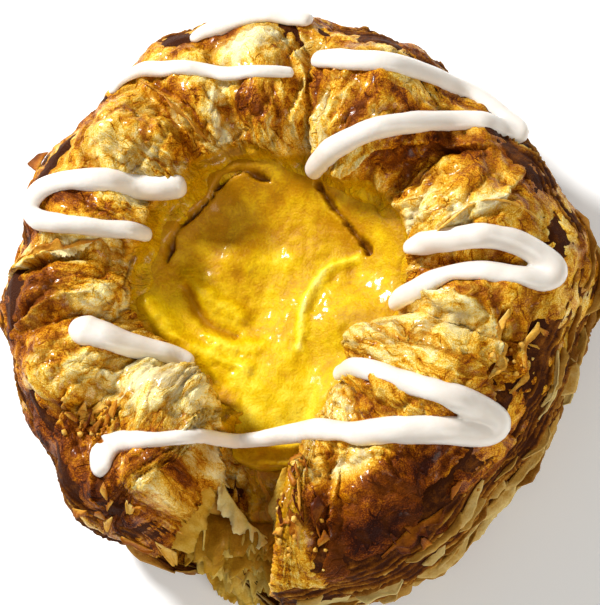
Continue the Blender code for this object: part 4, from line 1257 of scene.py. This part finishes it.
def add_stroke(bm, tree, spots_along, widths, seed):
    """One poured stroke: a round-backed band, extruded ring by ring along its line."""
    line, places = smooth_line(spots_along, ICING_STEP)
    half = np.interp(places, np.arange(len(widths)), widths)
    laid = [ground_below(tree, x, y) for x, y in line]
    ground = np.array([point for point, _ in laid])
    normals = evened(np.array([normal for _, normal in laid]), 12)
    eased = evened(ground, 30)
    height = evened(np.maximum(eased[:, 2], ground[:, 2] - 0.25)[:, None], 6)
    ground = np.hstack([evened(ground[:, :2], 2), height])
    run = np.concatenate([[0], np.cumsum(np.linalg.norm(np.diff(line, axis=0), axis=1))])
    to_end = np.minimum(run, run[-1] - run)
    rounded = np.sqrt(1 - np.clip(1 - to_end / half, 0, 0.97) ** 2)
    uneven = np.array([1 + 0.07 * noise.noise(Vector((s * 0.35, seed, 0))) for s in run])
    layer = bm.verts.layers.int.get("side") or bm.verts.layers.int.new("side")
    start = bmesh.ops.create_circle(bm, cap_ends=True, segments=ICING_SIDES, radius=MM)["verts"]
    face = start[0].link_faces[0]
    for k, vert in enumerate(face.verts):
        vert[layer] = k
    for i in range(len(line)):
        forwards = Vector(ground[min(i + 1, len(line) - 1)] - ground[max(i - 1, 0)]).normalized()
        up = Vector(normals[i]).normalized()
        across = forwards.cross(up).normalized()
        up = across.cross(forwards)
        if i:
            face = bmesh.ops.extrude_discrete_faces(bm, faces=[face])["faces"][0]
        for vert in face.verts:
            turn = math.tau * (vert[layer] + 0.5) / ICING_SIDES
            reach = (half[i] * uneven[i] + SMOOTHED_AWAY) * rounded[i]
            side, rise = math.cos(turn) * reach, math.sin(turn) * reach
            rise = rise * ICING_HEIGHT if rise > 0 else rise * 0.35
            point = Vector(ground[i]) + across * side + up * (rise + 0.25)
            vert.co = point * MM
    bmesh.ops.holes_fill(bm, edges=[e for e in bm.edges if e.is_boundary], sides=ICING_SIDES)


def make_icing(name, strokes, tree, material, seed):
    bm = bmesh.new()
    for number, (spots_along, widths) in enumerate(strokes):
        add_stroke(bm, tree, spots_along, widths, seed + number * 0.37)
    bmesh.ops.recalc_face_normals(bm, faces=bm.faces)
    mesh = bpy.data.meshes.new(name)
    bm.to_mesh(mesh)
    bm.free()
    rough = bpy.data.objects.new(name + "_rough", mesh)
    bpy.context.scene.collection.objects.link(rough)
    joined = rough.modifiers.new("run_together", "REMESH")
    joined.mode = "VOXEL"
    joined.voxel_size = REMESH_CELL * MM
    graph = bpy.context.evaluated_depsgraph_get()
    whole = bpy.data.meshes.new_from_object(rough.evaluated_get(graph))
    bpy.data.objects.remove(rough)
    bm = bmesh.new()
    bm.from_mesh(whole)
    for _ in range(4):
        bmesh.ops.smooth_vert(bm, verts=bm.verts, factor=0.5, use_axis_x=True, use_axis_y=True, use_axis_z=True)
    return add_piece(name + "_poured", bm, material, {}, [name])


def icing_finish():
    finish = Finish(
        "sugar_icing",
        subsurface_weight=0.35,
        subsurface_radius=(1.0, 0.8, 0.65),
        subsurface_scale=1.0 * MM,
        coat_roughness=0.2,
        coat_weight=0.25,
        specular_ior_level=0.5,
    )
    coarse, fine = finish.speckle(3.5, 3), finish.speckle(0.5, 3)
    tone = finish.ramp(coarse, [(0.3, colour(229, 220, 209)), (0.7, colour(237, 231, 223))])
    return finish.use(
        base_color=tone,
        roughness=(0.34 + (fine - 0.5) * 0.2).within(0.2, 0.6),
        normal=finish.bump(coarse * 0.8 + fine * 0.2, 0.12),
    )


crust_tree = tree_of(crust)
poured = icing_finish()
for number, (name, strokes) in enumerate(STROKES.items()):
    make_icing(name, strokes, crust_tree, poured, number * 5.1)

# ---- Crumbs -------------------------------------------------------------------------------------
# Crumbs of the broken flakes, left on the crust beside the torn places.
CRUMBS = [(338, 8, 8, 4, 22), (276, 4, 9, 7, 26), (217, 2, 8, 6, 14)]
crumb_bm = bmesh.new()
for middle, place, reach_round, reach_along, how_many in CRUMBS:
    for number in range(how_many):
        angle = middle + chance.gauss(0, 0.5) * reach_round
        along = place + chance.gauss(0, 0.5) * reach_along
        spot = dough_point(np.array([angle]), np.array([along]))[0]
        found = crust_tree.ray_cast(Vector((spot[0], spot[1], 60)) * MM, Vector((0, 0, -1)))
        if found[0] is None:
            continue
        size = chance.uniform(0.22, 0.6)
        crumb = bmesh.ops.create_icosphere(crumb_bm, subdivisions=1, radius=size * MM)["verts"]
        for vert in crumb:
            vert.co *= 1 + 0.6 * noise.noise(vert.co / MM * 2.5 + Vector((number, middle, 0)))
        bmesh.ops.translate(crumb_bm, verts=crumb, vec=found[0] + Vector((0, 0, size * 0.4 * MM)))
crumb_fields = {
    "shade": np.array([0.3 + 0.3 * noise.noise(v.co / MM * 0.7) for v in crumb_bm.verts]),
    "tip": np.zeros(len(crumb_bm.verts)),
}
add_piece("crumbs", crumb_bm, leaf_finish("toasted_crumb", BROKEN_TONE), crumb_fields, ["dough"])
